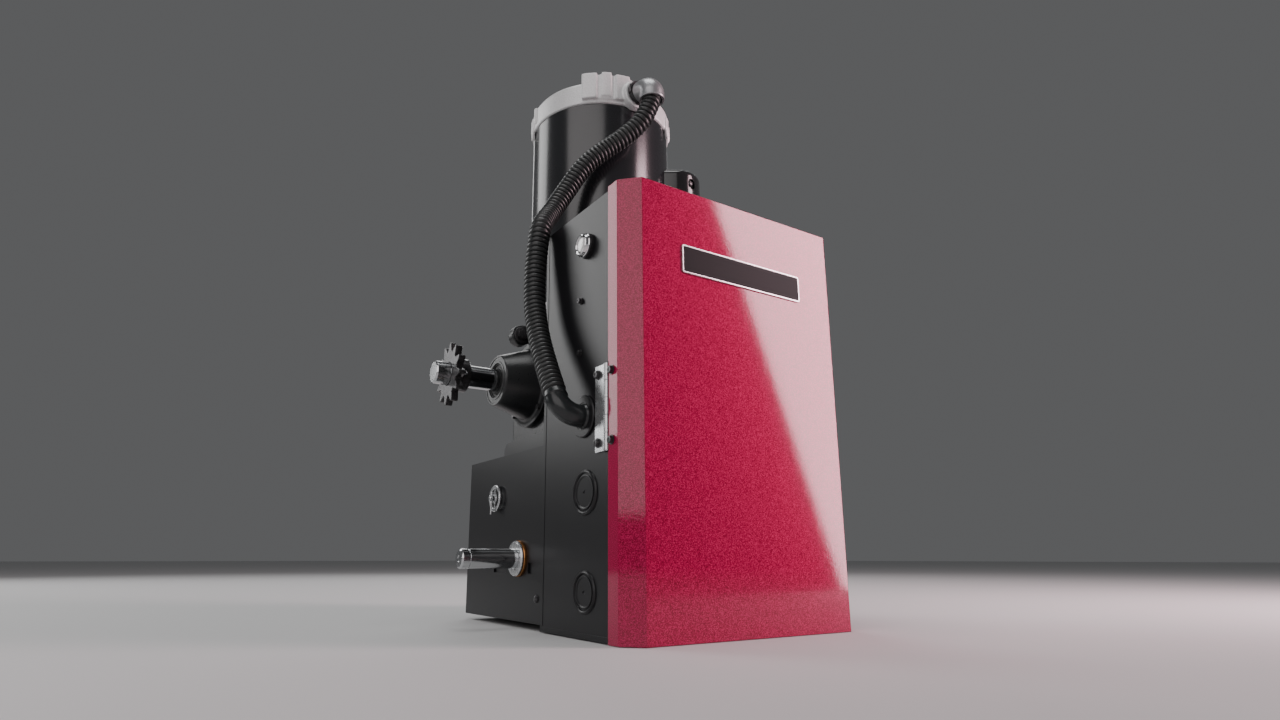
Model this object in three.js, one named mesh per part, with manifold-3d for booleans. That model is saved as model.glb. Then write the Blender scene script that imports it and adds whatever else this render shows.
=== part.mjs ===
// A commercial gear-head garage door opener that hangs on a wall beside its door.
// Millimetres. +X runs to the right across the cover, -Y is the cover's side, +Z is up.
// The origin is on the wall plate's rear face, which bears on the wall.
import * as THREE from "three";
import { mergeVertices } from "three/addons/utils/BufferGeometryUtils.js";
import Module from "manifold-3d";

const wasm = await Module();
wasm.setup();

// ---- Driving dimensions ----

const gap = 0.3; // left between pieces that are bolted, pressed or welded together

// Wall plate, side plates and shelf
const plateWidth = 236;
const plateBottomZ = -150;
const plateShoulderZ = -10; // above this the plate narrows to pass behind the reducer
const plateTopZ = 196;
const plateNeckWidth = 92;
const plateThickness = 5;
const plateHoleRadius = 5.5;
const plateHoleInset = 16;
const sidePlateThickness = 4;
const sidePlateRise = 14; // how far the side plates stand above the lower housing
const baseHalfWidth = 80;
const baseSheet = 5;

// Lower housing, behind the electrical box
const lowerWidth = 256;
const lowerDepth = 184;
const lowerHeight = 166;
const lowerSheet = 1.6;

// Electrical box and its cover
const coverWidth = 261;
const coverHeight = 390;
const coverDepth = 30.5;
const coverBevel = 15.7;
const coverSheet = 1.5;
const coverBottomZ = -170;
const boxInset = 1.6; // box side inside the cover's outer side
const boxDepth = 116.5;
const boxSheet = 1.8;
const boxTopDrop = 2.7;
const coverGap = 1.2;
const lowerBottomRise = 6; // lower housing's floor above the cover's bottom edge

// Hinge
const hingeHeight = 74.6;
const hingeCentreZ = 19.5;
const hingeLeafThickness = 1.3;
const hingeLeafWidth = 18;
const hingePinRadius = 1.6;
const hingeBarrelRadius = 2.9;
const hingeScrewPitch = 59;
const hingeScrewOffset = 12.8; // from the barrel to the screws in the box's side
const coverScrewInset = 6.4; // from the cover's rear edge
const screwHeadRadius = 3.9;
const screwHeadHeight = 3.2;

// Fittings on the box's left side, measured back from the cover's front and up from its bottom
const knockoutFromFront = 68.8;
const upperKnockoutHeight = 120.6;
const lowerKnockoutHeight = 38;
const upperKnockoutRadius = 19.6;
const lowerKnockoutRadius = 17.8;
const sideScrewFromFront = 79;
const upperSideScrewHeight = 296.6;
const lowerSideScrewHeight = 246.8;
const buttonFromFront = 68;
const buttonDrop = 43; // below the cover's top edge
const buttonRadius = 11.2;
const buttonCapRadius = 7.4;
const buttonTravel = 3;

// Motor
const motorAxisX = -12.6;
const motorAxisY = -103.6;
const motorRadius = 84;
const motorWall = 2;
const shellBottomZ = 176;
const shellTopZ = 409.6;
const bellBandHeight = 29;
const bellRadius = 86;
const statorHeight = 96;
const coilOverhang = 26; // the windings beyond the stator's stack, at each end
const statorInnerRadius = 46;
const rotorHeight = 98;
const airGap = 0.6;
const motorShaftRadius = 10;
const wormFootRadius = 8; // runs in the reducer's floor

// Gear reducer
const gearAxisZ = 94.5;
const centreDistance = 48;
const gearModule = 2.5;
const wheelTeeth = 28;
const wheelWidth = 14;
const housingHalfWidth = 64;
const housingBore = 42;
const bossEndX = -123.4; // outer face of the left bearing cap
const bossEndRadius = 29.2;
const bossRootRadius = 42;
const capFlangeRadius = 50;
const outputShaftRadius = 12.7;
const outputShaftEndX = -197.3;
const keySize = 6.35;

// Drive sprocket on the output shaft
const sprocketTeeth = 12;
const sprocketOuterRadius = 35.2;
const sprocketRootRadius = 25.6;
const sprocketThickness = 8;
const sprocketFaceX = -181;
const sprocketHubWall = 6.1;
const sprocketHubLength = 13;

// Hoist shaft through the lower housing
const hoistAxisY = -139.9;
const hoistAxisZ = -104.7;
const hoistShaftRadius = 9.5;
const hoistShaftEndX = -190.6;
const hoistTeeth = 14;
const hoistSprocketRadius = 32;
const bushingFlangeRadius = 17.6;
const bushingSleeveRadius = 13;
const bushingFlangeThickness = 3;

// Release pin and its ring
const releaseY = -85;
const releaseZ = -42.4;
const releasePinRadius = 3.2;
const releaseTravel = 10;
const releaseReach = 11; // how far the pin stands out of the housing
const ringRadius = 13;
const ringWire = 1.1;

// Hose between the motor and the electrical box
const hoseRadius = 10.8;
const elbowRadius = 10;
const elbowBend = 18;
const elbowHeight = 187; // up from the cover's bottom
const elbowFromFront = 71.3;
const elbowFlangeRadius = 18.9;
const connectorZ = 422;
const hoodRadius = 14.6;
const hoseRoute = [
  [-152.5, -254.5, 38],
  [-152, -241, 59],
  [-151.2, -229, 78],
  [-150.3, -218.5, 96],
  [-149.4, -210, 114],
  [-148.6, -204, 131],
  [-147.6, -200, 150],
  [-146.2, -197.3, 169],
  [-144.7, -196, 187],
  [-143, -196, 205],
  [-140, -195, 222.5],
  [-131.5, -187, 237],
  [-121, -179.5, 251],
  [-109, -176.8, 271],
  [-98, -178, 290],
  [-88, -181.5, 308],
  [-78, -185.5, 322],
  [-67.5, -189.5, 333],
  [-57, -194, 343],
  [-48, -199, 351],
  [-39, -205, 360],
  [-31, -211, 369],
  [-25, -216, 379],
  [-20.5, -219.5, 391],
  [-17.4, -221, 401],
  [-17, -221, 407],
];

// Capacitor on the motor's side
const capacitorAngle = -34;
const capacitorReach = 40;
const capacitorWidth = 62;
const capacitorBottomZ = 210;
const capacitorTopZ = 357;
const capacitorSheet = 1.2;

// ---- Places worked out from those sizes ----

const lowerBackY = -plateThickness - gap;
const lowerFrontY = lowerBackY - lowerDepth;
const boxBackY = lowerFrontY - gap;
const boxFrontY = boxBackY - boxDepth;
const coverRearY = boxFrontY - coverGap;
const coverFrontY = coverRearY - coverDepth;
const boxSideX = coverWidth / 2 - boxInset;
const boxBottomZ = coverBottomZ + 0.6;
const coverTopZ = coverBottomZ + coverHeight;
const boxTopZ = coverTopZ - boxTopDrop;
const lowerBottomZ = coverBottomZ + lowerBottomRise;
const lowerTopZ = lowerBottomZ + lowerHeight;
const sideTopZ = lowerTopZ + sidePlateRise;
const lowerSideX = lowerWidth / 2;
const sidePlateX = lowerSideX - lowerSheet - gap;
const baseTopZ = sideTopZ - 1;
const gearAxisY = motorAxisY + centreDistance;
const sprocketHubRadius = outputShaftRadius + sprocketHubWall;
const wheelRadius = (gearModule * wheelTeeth) / 2;
const wormRadius = centreDistance - wheelRadius;
const wormPitch = Math.PI * gearModule;
const hingeX = -boxSideX - 0.9;
const hingeY = boxFrontY + 1.2;
const housingLeftX = motorAxisX - housingHalfWidth;
const housingRightX = motorAxisX + housingHalfWidth;
const flangeTopZ = shellBottomZ - gap;
const flangeBottomZ = flangeTopZ - 12;

// ---- Finishes ----

const finish = (color, roughness, metalness) =>
  new THREE.MeshStandardMaterial({ color, roughness, metalness });
const redPaint = finish(0xa8123f, 0.35, 0.2);
const blackPaint = finish(0x1c1c1f, 0.4, 0.3);
const castAluminium = finish(0xbfc1c2, 0.6, 0.8);
const zinc = finish(0xd6d8da, 0.3, 0.9);
const steel = finish(0xc4c6c8, 0.2, 1);
const blackSteel = finish(0x222225, 0.5, 0.7);
const bronze = finish(0xa06a3c, 0.35, 0.9);
const blackPlastic = finish(0x121314, 0.35, 0);
const castIron = finish(0x2a2b2d, 0.6, 0.6);
const copper = finish(0xb4663a, 0.4, 0.8);
const greenBoard = finish(0x1f5a38, 0.5, 0.1);
const greyPlastic = finish(0x55585b, 0.5, 0);

// ---- Shapes ----

const opener = new THREE.Group();

// A closed mesh as a solid that can be joined and cut.
function solid(geometry) {
  const bare = new THREE.BufferGeometry();
  bare.setAttribute("position", geometry.getAttribute("position"));
  if (geometry.index) bare.setIndex(geometry.index);
  const merged = mergeVertices(bare, 1e-4);
  return new wasm.Manifold(
    new wasm.Mesh({
      numProp: 3,
      vertProperties: merged.attributes.position.array,
      triVerts: new Uint32Array(merged.index.array),
    }),
  );
}

// A solid back as a three.js geometry.
function geometryOf(shape) {
  const mesh = shape.getMesh();
  const geometry = new THREE.BufferGeometry();
  geometry.setAttribute("position", new THREE.BufferAttribute(mesh.vertProperties, 3));
  geometry.setIndex(new THREE.BufferAttribute(mesh.triVerts, 1));
  geometry.computeVertexNormals();
  return geometry;
}

// One named piece of the opener.
function piece(name, shape, material) {
  const mesh = new THREE.Mesh(geometryOf(shape), material);
  mesh.name = name;
  opener.add(mesh);
}

// A block between two corners.
function block(x0, x1, y0, y1, z0, z1) {
  const geometry = new THREE.BoxGeometry(x1 - x0, y1 - y0, z1 - z0);
  geometry.translate((x0 + x1) / 2, (y0 + y1) / 2, (z0 + z1) / 2);
  return solid(geometry);
}

// Turns a geometry whose axis is +Y so that its axis is the one named.
function turnTo(geometry, axis) {
  if (axis === "x") geometry.rotateZ(-Math.PI / 2);
  if (axis === "z") geometry.rotateX(Math.PI / 2);
  return geometry;
}

// A round bar or cone along one axis; at is the place of the start's centre.
function bar(axis, at, length, radius, endRadius = radius, segments = 20) {
  const geometry = new THREE.CylinderGeometry(endRadius, radius, length, segments);
  geometry.translate(0, length / 2, 0);
  turnTo(geometry, axis);
  geometry.translate(at[0], at[1], at[2]);
  return solid(geometry);
}

// A turned shape round an axis from points of [radius, place along the axis] that close on themselves.
function turned(axis, at, points, segments = 24) {
  const outline = [...points, points[0]].map(([r, along]) => new THREE.Vector2(r, along));
  const geometry = new THREE.LatheGeometry(outline, segments);
  turnTo(geometry, axis);
  geometry.translate(at[0], at[1], at[2]);
  const shape = solid(geometry);
  return shape.volume() > 0 ? shape : solid(flipped(geometry));
}

// The same faces turned the other way round.
function flipped(geometry) {
  const index = Array.from(geometry.index.array);
  for (let i = 0; i < index.length; i += 3) [index[i], index[i + 1]] = [index[i + 1], index[i]];
  const turnedRound = geometry.clone();
  turnedRound.setIndex(index);
  return turnedRound;
}

// A plain ring: outer and inner radius over a length.
function ring(axis, at, length, outer, inner, segments = 20) {
  return turned(axis, at, [[inner, 0], [outer, 0], [outer, length], [inner, length]], segments);
}

// A flat outline drawn in the plane across an axis and extruded along it. Across z the outline's
// own x and y are X and Y; across x they are Y and Z; across y they are X and Z.
function prism(axis, outline, from, to, segments = 4) {
  const geometry = new THREE.ExtrudeGeometry(outline, {
    depth: to - from,
    bevelEnabled: false,
    curveSegments: segments,
  });
  const place = geometry.attributes.position;
  for (let i = 0; i < place.count; i += 1) {
    const [u, v, w] = [place.getX(i), place.getY(i), place.getZ(i)];
    if (axis === "z") place.setXYZ(i, u, v, from + w);
    if (axis === "x") place.setXYZ(i, from + w, u, v);
    if (axis === "y") place.setXYZ(i, u, to - w, v);
  }
  return solid(geometry);
}

// A rectangle with rounded corners as an outline.
function roundedRectangle(u0, u1, v0, v1, radius) {
  const shape = new THREE.Shape();
  shape.moveTo(u0 + radius, v0);
  shape.lineTo(u1 - radius, v0);
  shape.absarc(u1 - radius, v0 + radius, radius, -Math.PI / 2, 0);
  shape.lineTo(u1, v1 - radius);
  shape.absarc(u1 - radius, v1 - radius, radius, 0, Math.PI / 2);
  shape.lineTo(u0 + radius, v1);
  shape.absarc(u0 + radius, v1 - radius, radius, Math.PI / 2, Math.PI);
  shape.lineTo(u0, v0 + radius);
  shape.absarc(u0 + radius, v0 + radius, radius, Math.PI, 1.5 * Math.PI);
  return shape;
}

// An outline from plain points.
function outlineOf(points) {
  return new THREE.Shape(points.map(([u, v]) => new THREE.Vector2(u, v)));
}

// A round tube along a curve.
function tubeAlong(curve, radius, steps, sides) {
  const section = new THREE.Shape();
  section.absarc(0, 0, radius, 0, 2 * Math.PI);
  return solid(
    new THREE.ExtrudeGeometry(section, {
      steps,
      curveSegments: sides / 2,
      extrudePath: curve,
      bevelEnabled: false,
    }),
  );
}

// A hexagon-headed screw along X: its shank runs inwards from the head's seat.
function screwAlongX(seatX, y, z, outwards, shank, radius = screwHeadRadius) {
  const headFrom = outwards < 0 ? seatX - screwHeadHeight : seatX;
  const shankFrom = outwards < 0 ? seatX - 0.5 : seatX + 0.5 - shank;
  return bar("x", [headFrom, y, z], screwHeadHeight, radius, radius, 6)
    .add(bar("x", [shankFrom, y, z], shank, radius / 2.4, radius / 2.4, 10));
}

// ---- Wall plate and frame ----

const neckLeftX = motorAxisX - plateNeckWidth / 2;
const neckRightX = motorAxisX + plateNeckWidth / 2;
const plateOutline = outlineOf([
  [-plateWidth / 2, plateBottomZ],
  [plateWidth / 2, plateBottomZ],
  [plateWidth / 2, plateShoulderZ - 12],
  [plateWidth / 2 - 12, plateShoulderZ],
  [neckRightX, plateShoulderZ],
  [neckRightX, plateTopZ - 8],
  [neckRightX - 8, plateTopZ],
  [neckLeftX + 8, plateTopZ],
  [neckLeftX, plateTopZ - 8],
  [neckLeftX, plateShoulderZ],
  [-plateWidth / 2 + 12, plateShoulderZ],
  [-plateWidth / 2, plateShoulderZ - 12],
]);
const plateHoles = [
  [-plateWidth / 2 + plateHoleInset, plateBottomZ + plateHoleInset],
  [plateWidth / 2 - plateHoleInset, plateBottomZ + plateHoleInset],
  [neckLeftX + plateHoleInset, plateTopZ - plateHoleInset],
  [neckRightX - plateHoleInset, plateTopZ - plateHoleInset],
];
let wallPlate = prism("y", plateOutline, -plateThickness, 0);
for (const [x, z] of plateHoles)
  wallPlate = wallPlate.subtract(bar("y", [x, -plateThickness - 1, z], plateThickness + 2, plateHoleRadius));
piece("wall_plate", wallPlate, blackSteel);

// A side plate: its front part stands above the lower housing and has a rounded rear corner.
function sidePlate(side) {
  const rearY = lowerBackY - lowerSheet - gap;
  const frontY = lowerFrontY + 2;
  const stepY = frontY + lowerDepth * 0.52;
  const corner = 12;
  const outline = new THREE.Shape();
  outline.moveTo(frontY, lowerBottomZ + lowerSheet + gap);
  outline.lineTo(rearY, lowerBottomZ + lowerSheet + gap);
  outline.lineTo(rearY, lowerTopZ - lowerSheet - gap);
  outline.lineTo(stepY, lowerTopZ - lowerSheet - gap);
  outline.lineTo(stepY, sideTopZ - corner);
  outline.absarc(stepY - corner, sideTopZ - corner, corner, 0, Math.PI / 2);
  outline.lineTo(frontY, sideTopZ);
  const innerX = side * (sidePlateX - sidePlateThickness);
  const outerX = side * sidePlateX;
  const left = Math.min(innerX, outerX);
  return prism("x", outline, left, left + sidePlateThickness)
    .subtract(bar("x", [left - 1, hoistAxisY, hoistAxisZ], sidePlateThickness + 2, bushingSleeveRadius + gap))
    .subtract(bar("x", [left - 1, releaseY, releaseZ], sidePlateThickness + 2, releasePinRadius + gap, releasePinRadius + gap, 16));
}
piece("side_plate_left", sidePlate(-1), blackSteel);
piece("side_plate_right", sidePlate(1), blackSteel);

// The base that carries the gear reducer: a channel lying open side down on the lower housing.
const baseBackY = lowerBackY - 3;
piece(
  "reducer_base",
  block(-baseHalfWidth, baseHalfWidth, lowerFrontY + 4, baseBackY, lowerTopZ + gap, baseTopZ).subtract(
    block(
      -baseHalfWidth + baseSheet,
      baseHalfWidth - baseSheet,
      lowerFrontY,
      baseBackY + 1,
      lowerTopZ,
      baseTopZ - baseSheet,
    ),
  ),
  blackSteel,
);

// The lower housing: a folded sheet with no front, its top slotted for the side plates.
let lowerHousing = block(-lowerSideX, lowerSideX, lowerFrontY, lowerBackY, lowerBottomZ, lowerTopZ)
  .subtract(
    block(
      -lowerSideX + lowerSheet,
      lowerSideX - lowerSheet,
      lowerFrontY - 1,
      lowerBackY - lowerSheet,
      lowerBottomZ + lowerSheet,
      lowerTopZ - lowerSheet,
    ),
  );
for (const side of [-1, 1]) {
  const slotX = side < 0 ? -lowerSideX + lowerSheet : sidePlateX - sidePlateThickness - gap;
  lowerHousing = lowerHousing.subtract(
    block(
      slotX,
      slotX + sidePlateThickness + 2 * gap,
      lowerFrontY - 1,
      lowerFrontY + lowerDepth * 0.52 + 4,
      lowerTopZ - lowerSheet - 1,
      lowerTopZ + 1,
    ),
  );
  const wallX = side < 0 ? -lowerSideX - 1 : lowerSideX - lowerSheet - 1;
  const hole = (y, z, radius) => bar("x", [wallX, y, z], lowerSheet + 2, radius, radius, 24);
  lowerHousing = lowerHousing
    .subtract(hole(hoistAxisY, hoistAxisZ, bushingSleeveRadius + gap))
    .subtract(hole(releaseY, releaseZ, releasePinRadius + gap));
}
// Ventilation and adjustment slots in the left side, below and in front of the hoist shaft.
const slotTopZ = hoistAxisZ - 4;
for (const [from, to, height] of [[-168.4, -159.8, 10], [-151, -141, 10], [-109.8, -79.6, 4]])
  lowerHousing = lowerHousing.subtract(
    block(-lowerSideX - 1, -lowerSideX + lowerSheet + 1, from, to, slotTopZ - 10, slotTopZ - 10 + height),
  );
piece("lower_housing", lowerHousing, blackPaint);

// ---- Electrical box ----

const elbowY = coverFrontY + elbowFromFront;
const elbowZ = coverBottomZ + elbowHeight;
const knockoutY = coverFrontY + knockoutFromFront;
const knockoutCut = boxSheet + 2;
const leftHole = (y, z, radius) => bar("x", [-boxSideX - 1, y, z], knockoutCut, radius, radius, 28);
const buttonY = coverFrontY + buttonFromFront;
const buttonZ = coverTopZ - buttonDrop;
const sideScrewY = coverFrontY + sideScrewFromFront;
const plugHubShare = 0.86; // share of a knockout plug's radius that fills the hole
const buttonStemRadius = buttonRadius - 2.2;
const nippleRadius = 8.6;
const electricalBox = block(-boxSideX, boxSideX, boxFrontY, boxBackY, boxBottomZ, boxTopZ)
  .subtract(
    block(
      -boxSideX + boxSheet,
      boxSideX - boxSheet,
      boxFrontY - 1,
      boxBackY - boxSheet,
      boxBottomZ + boxSheet,
      boxTopZ - boxSheet,
    ),
  )
  .subtract(leftHole(knockoutY, coverBottomZ + upperKnockoutHeight, upperKnockoutRadius * plugHubShare + gap))
  .subtract(leftHole(knockoutY, coverBottomZ + lowerKnockoutHeight, lowerKnockoutRadius * plugHubShare + gap))
  .subtract(leftHole(buttonY, buttonZ, buttonStemRadius + gap))
  .subtract(leftHole(elbowY, elbowZ, nippleRadius + gap))
  .subtract(leftHole(sideScrewY, coverBottomZ + upperSideScrewHeight, 1.8))
  .subtract(leftHole(sideScrewY, coverBottomZ + lowerSideScrewHeight, 1.8))
  .subtract(leftHole(hingeY + hingeScrewOffset, hingeCentreZ + hingeScrewPitch / 2, 1.8))
  .subtract(leftHole(hingeY + hingeScrewOffset, hingeCentreZ - hingeScrewPitch / 2, 1.8))
  .subtract(
    block(
      -boxSideX - 1,
      -boxSideX + hingeBarrelRadius + 1,
      boxFrontY - 1,
      hingeY + hingeBarrelRadius + gap,
      hingeCentreZ - hingeHeight / 2 - 1,
      hingeCentreZ + hingeHeight / 2 + 1,
    ),
  );
piece("electrical_box", electricalBox, blackPaint);

// A plug that closes a cable hole: a raised rim, a dished face with a dimple, and a hub in the hole.
function knockoutPlug(height, radius) {
  const hub = radius * plugHubShare;
  const profile = [
    [0, -0.4],
    [1.2, -0.4],
    [1.6, -0.9],
    [radius * 0.68, -0.9],
    [radius * 0.74, -1.9],
    [radius * 0.94, -1.9],
    [radius, -gap],
    [hub, -gap],
    [hub, boxSheet + 0.8],
    [0, boxSheet + 0.8],
  ];
  const outline = profile.map(([r, along]) => new THREE.Vector2(r, along));
  const geometry = new THREE.LatheGeometry(outline, 20);
  turnTo(geometry, "x");
  geometry.translate(-boxSideX, knockoutY, coverBottomZ + height);
  const shape = solid(geometry);
  return shape.volume() > 0 ? shape : solid(flipped(geometry));
}
piece("knockout_plug_upper", knockoutPlug(upperKnockoutHeight, upperKnockoutRadius), blackPaint);
piece("knockout_plug_lower", knockoutPlug(lowerKnockoutHeight, lowerKnockoutRadius), blackPaint);

for (const [name, height] of [["upper", upperSideScrewHeight], ["lower", lowerSideScrewHeight]])
  piece(
    "side_screw_" + name,
    screwAlongX(-boxSideX - gap, sideScrewY, coverBottomZ + height, -1, 9, 3.2),
    blackSteel,
  );

// ---- Push button: a chrome bezel, its nut outside the sheet and a cap that travels inwards ----

const nutDepth = 3;
const bezelDepth = 4.6;
const bezelX = -boxSideX - gap - nutDepth - gap;
piece(
  "button_nut",
  ring("x", [-boxSideX - gap - nutDepth, buttonY, buttonZ], nutDepth, buttonRadius + 0.6, buttonStemRadius + gap),
  blackSteel,
);
piece(
  "button_bezel",
  turned("x", [bezelX, buttonY, buttonZ], [
    [buttonCapRadius + gap, -bezelDepth],
    [buttonRadius - 1.2, -bezelDepth],
    [buttonRadius, -bezelDepth + 1.2],
    [buttonRadius, 0],
    [buttonStemRadius, 0],
    [buttonStemRadius, nutDepth + boxSheet + 12],
    [buttonCapRadius + gap, nutDepth + boxSheet + 12],
  ]),
  zinc,
);
piece(
  "button_cap",
  bar("x", [bezelX - bezelDepth + 0.4, buttonY, buttonZ], 3, buttonCapRadius - 0.9, buttonCapRadius, 28)
    .add(bar("x", [bezelX - bezelDepth + 3.4, buttonY, buttonZ], 8, buttonCapRadius, buttonCapRadius, 28)),
  zinc,
);

// ---- Hinge between box and cover ----

const knuckles = 5;
const knuckleHeight = hingeHeight / knuckles;
const hingeBottomZ = hingeCentreZ - hingeHeight / 2;
// Knuckles of one leaf, every second one of the barrel, with its flat leaf joined on.
function hingeLeaf(first, leaf) {
  let shape = leaf;
  for (let i = first; i < knuckles; i += 2)
    shape = shape.add(
      bar("z", [hingeX, hingeY, hingeBottomZ + i * knuckleHeight + gap / 2], knuckleHeight - gap, hingeBarrelRadius, hingeBarrelRadius, 14),
    );
  for (let i = 1 - first; i < knuckles; i += 2)
    shape = shape.subtract(
      bar("z", [hingeX, hingeY, hingeBottomZ + i * knuckleHeight - gap / 2], knuckleHeight + gap, hingeBarrelRadius + gap, hingeBarrelRadius + gap, 14),
    );
  return shape.subtract(
    bar("z", [hingeX, hingeY, hingeBottomZ - 1], hingeHeight + 2, hingePinRadius + 0.15, hingePinRadius + 0.15, 12),
  );
}
const boxLeafX = -boxSideX - gap - hingeLeafThickness;
const boxLeaf = block(
  boxLeafX,
  boxLeafX + hingeLeafThickness,
  hingeY,
  hingeY + hingeLeafWidth,
  hingeBottomZ,
  hingeBottomZ + hingeHeight,
);
const coverLeafX = -coverWidth / 2 + coverSheet + gap;
const coverLeaf = block(
  coverLeafX,
  coverLeafX + hingeLeafThickness,
  hingeY - hingeLeafWidth + 2.5,
  hingeY,
  hingeBottomZ,
  hingeBottomZ + hingeHeight,
);
const hingeScrewZ = [hingeCentreZ + hingeScrewPitch / 2, hingeCentreZ - hingeScrewPitch / 2];
let hingeLeafBox = hingeLeaf(0, boxLeaf);
let hingeLeafCover = hingeLeaf(1, coverLeaf);
for (const z of hingeScrewZ) {
  hingeLeafBox = hingeLeafBox.subtract(bar("x", [boxLeafX - 1, hingeY + hingeScrewOffset, z], 4, 1.9, 1.9, 12));
  hingeLeafCover = hingeLeafCover.subtract(bar("x", [coverLeafX - 1, coverRearY - coverScrewInset, z], 4, 1.9, 1.9, 12));
}
piece("hinge_leaf_box", hingeLeafBox, zinc);
piece("hinge_leaf_cover", hingeLeafCover, zinc);
piece(
  "hinge_pin",
  bar("z", [hingeX, hingeY, hingeBottomZ - 0.5], hingeHeight + 1, hingePinRadius, hingePinRadius, 12),
  steel,
);
for (const [i, name] of ["upper", "lower"].entries()) {
  piece(
    "hinge_screw_box_" + name,
    screwAlongX(boxLeafX - gap, hingeY + hingeScrewOffset, hingeScrewZ[i], -1, 9),
    blackSteel,
  );
  piece(
    "hinge_screw_cover_" + name,
    screwAlongX(-coverWidth / 2 - gap, coverRearY - coverScrewInset, hingeScrewZ[i], -1, 8),
    blackSteel,
  );
}

// ---- Cover: a pan with bevelled left and right edges ----

// The cover's section across Z, drawn inset by the sheet for its hollow.
function coverSection(inset, rear) {
  const half = coverWidth / 2 - inset;
  const slope = inset * Math.tan(Math.PI / 8);
  const front = coverFrontY + inset;
  const cut = coverBevel - inset + slope;
  return outlineOf([
    [-half, rear],
    [-half, front + cut],
    [-half + cut, front],
    [half - cut, front],
    [half, front + cut],
    [half, rear],
  ]);
}
let frontCover = prism("z", coverSection(0, coverRearY), coverBottomZ, coverBottomZ + coverHeight)
  .subtract(
    prism(
      "z",
      coverSection(coverSheet, coverRearY + 1),
      coverBottomZ + coverSheet,
      coverBottomZ + coverHeight - coverSheet,
    ),
  )
  .subtract(
    block(
      -coverWidth / 2 - 1,
      -coverWidth / 2 + 6,
      hingeY - hingeBarrelRadius - gap,
      coverRearY + 1,
      hingeBottomZ - 1,
      hingeBottomZ + hingeHeight + 1,
    ),
  );
const coverScrewZ = coverBottomZ + coverHeight / 2;
frontCover = frontCover.subtract(bar("x", [coverWidth / 2 - 3, coverRearY - coverScrewInset, coverScrewZ], 4, 1.9, 1.9, 12));
for (const z of hingeScrewZ)
  frontCover = frontCover.subtract(bar("x", [-coverWidth / 2 - 1, coverRearY - coverScrewInset, z], 4, 1.9, 1.9, 12));
piece("front_cover", frontCover, redPaint);

// The badge plate: a blank plate with rounded corners.
const badgeLeftX = -73;
const badgeWidth = 145.5;
const badgeHeight = 26.4;
const badgeDrop = 53.4; // its top edge below the cover's
const badgeBottomZ = coverTopZ - badgeDrop - badgeHeight;
const badgeThickness = 1.2;
piece(
  "badge_plate",
  prism(
    "y",
    roundedRectangle(badgeLeftX, badgeLeftX + badgeWidth, badgeBottomZ, badgeBottomZ + badgeHeight, 2),
    coverFrontY - gap - badgeThickness,
    coverFrontY - gap,
    5,
  ),
  blackPaint,
);

// A captive screw that holds the cover shut, half way up its right side.
piece(
  "cover_screw",
  screwAlongX(coverWidth / 2 + gap, coverRearY - coverScrewInset, coverScrewZ, 1, 4),
  blackSteel,
);

// ---- Inside the electrical box ----

const transformerWidth = 70;
const transformerHeight = 70;
const transformerRightX = boxSideX - boxSheet - 1.1;
const transformerLeftX = transformerRightX - transformerWidth;
const transformerTopZ = boxTopZ - boxSheet - 25.5;
const transformerBottomZ = transformerTopZ - transformerHeight;
const boardStandoff = 14;
const boardBackY = boxBackY - boxSheet - boardStandoff;
const boardLeftX = -boxSideX + boxSheet + 23.1;
const boardRightX = transformerLeftX - 10;
const boardBottomZ = 10;
const boardTopZ = boxTopZ - boxSheet - 15.5;
const postInset = 8;
let circuitBoard = block(boardLeftX, boardRightX, boardBackY - 1.6, boardBackY, boardBottomZ, boardTopZ);
for (const x of [boardLeftX + postInset, boardRightX - postInset])
  for (const z of [boardBottomZ + postInset, boardTopZ - postInset])
    circuitBoard = circuitBoard.add(
      bar("y", [x, boardBackY - 0.5, z], boardStandoff + 0.5 - gap, 3.5, 3.5, 12),
    );
piece("circuit_board", circuitBoard, greenBoard);

// The transformer's core stands upright between the two cheeks of its winding.
const panelBackY = boxBackY - boxSheet - gap;
piece(
  "transformer",
  block(
    transformerLeftX + 6,
    transformerRightX - 6,
    panelBackY - 50,
    panelBackY,
    transformerBottomZ,
    transformerTopZ,
  ).add(
    block(
      transformerLeftX + 2,
      transformerRightX - 2,
      panelBackY - 38,
      panelBackY - 12,
      transformerBottomZ + 12,
      transformerTopZ - 12,
    ),
  ),
  blackSteel,
);
const contactorWidth = 52;
const contactorHeight = 68;
const contactorLeftX = transformerLeftX + 8;
const contactorTopZ = transformerBottomZ - 24;
const contactorBottomZ = contactorTopZ - contactorHeight;
piece(
  "contactor",
  prism(
    "y",
    roundedRectangle(contactorLeftX, contactorLeftX + contactorWidth, contactorBottomZ, contactorTopZ, 4),
    panelBackY - 62,
    panelBackY,
    3,
  ).add(
    block(
      contactorLeftX + 6,
      contactorLeftX + contactorWidth - 6,
      panelBackY - 70,
      panelBackY - 61,
      contactorBottomZ + 14,
      contactorTopZ - 14,
    ),
  ),
  greyPlastic,
);

// ---- Gear reducer ----

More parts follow.
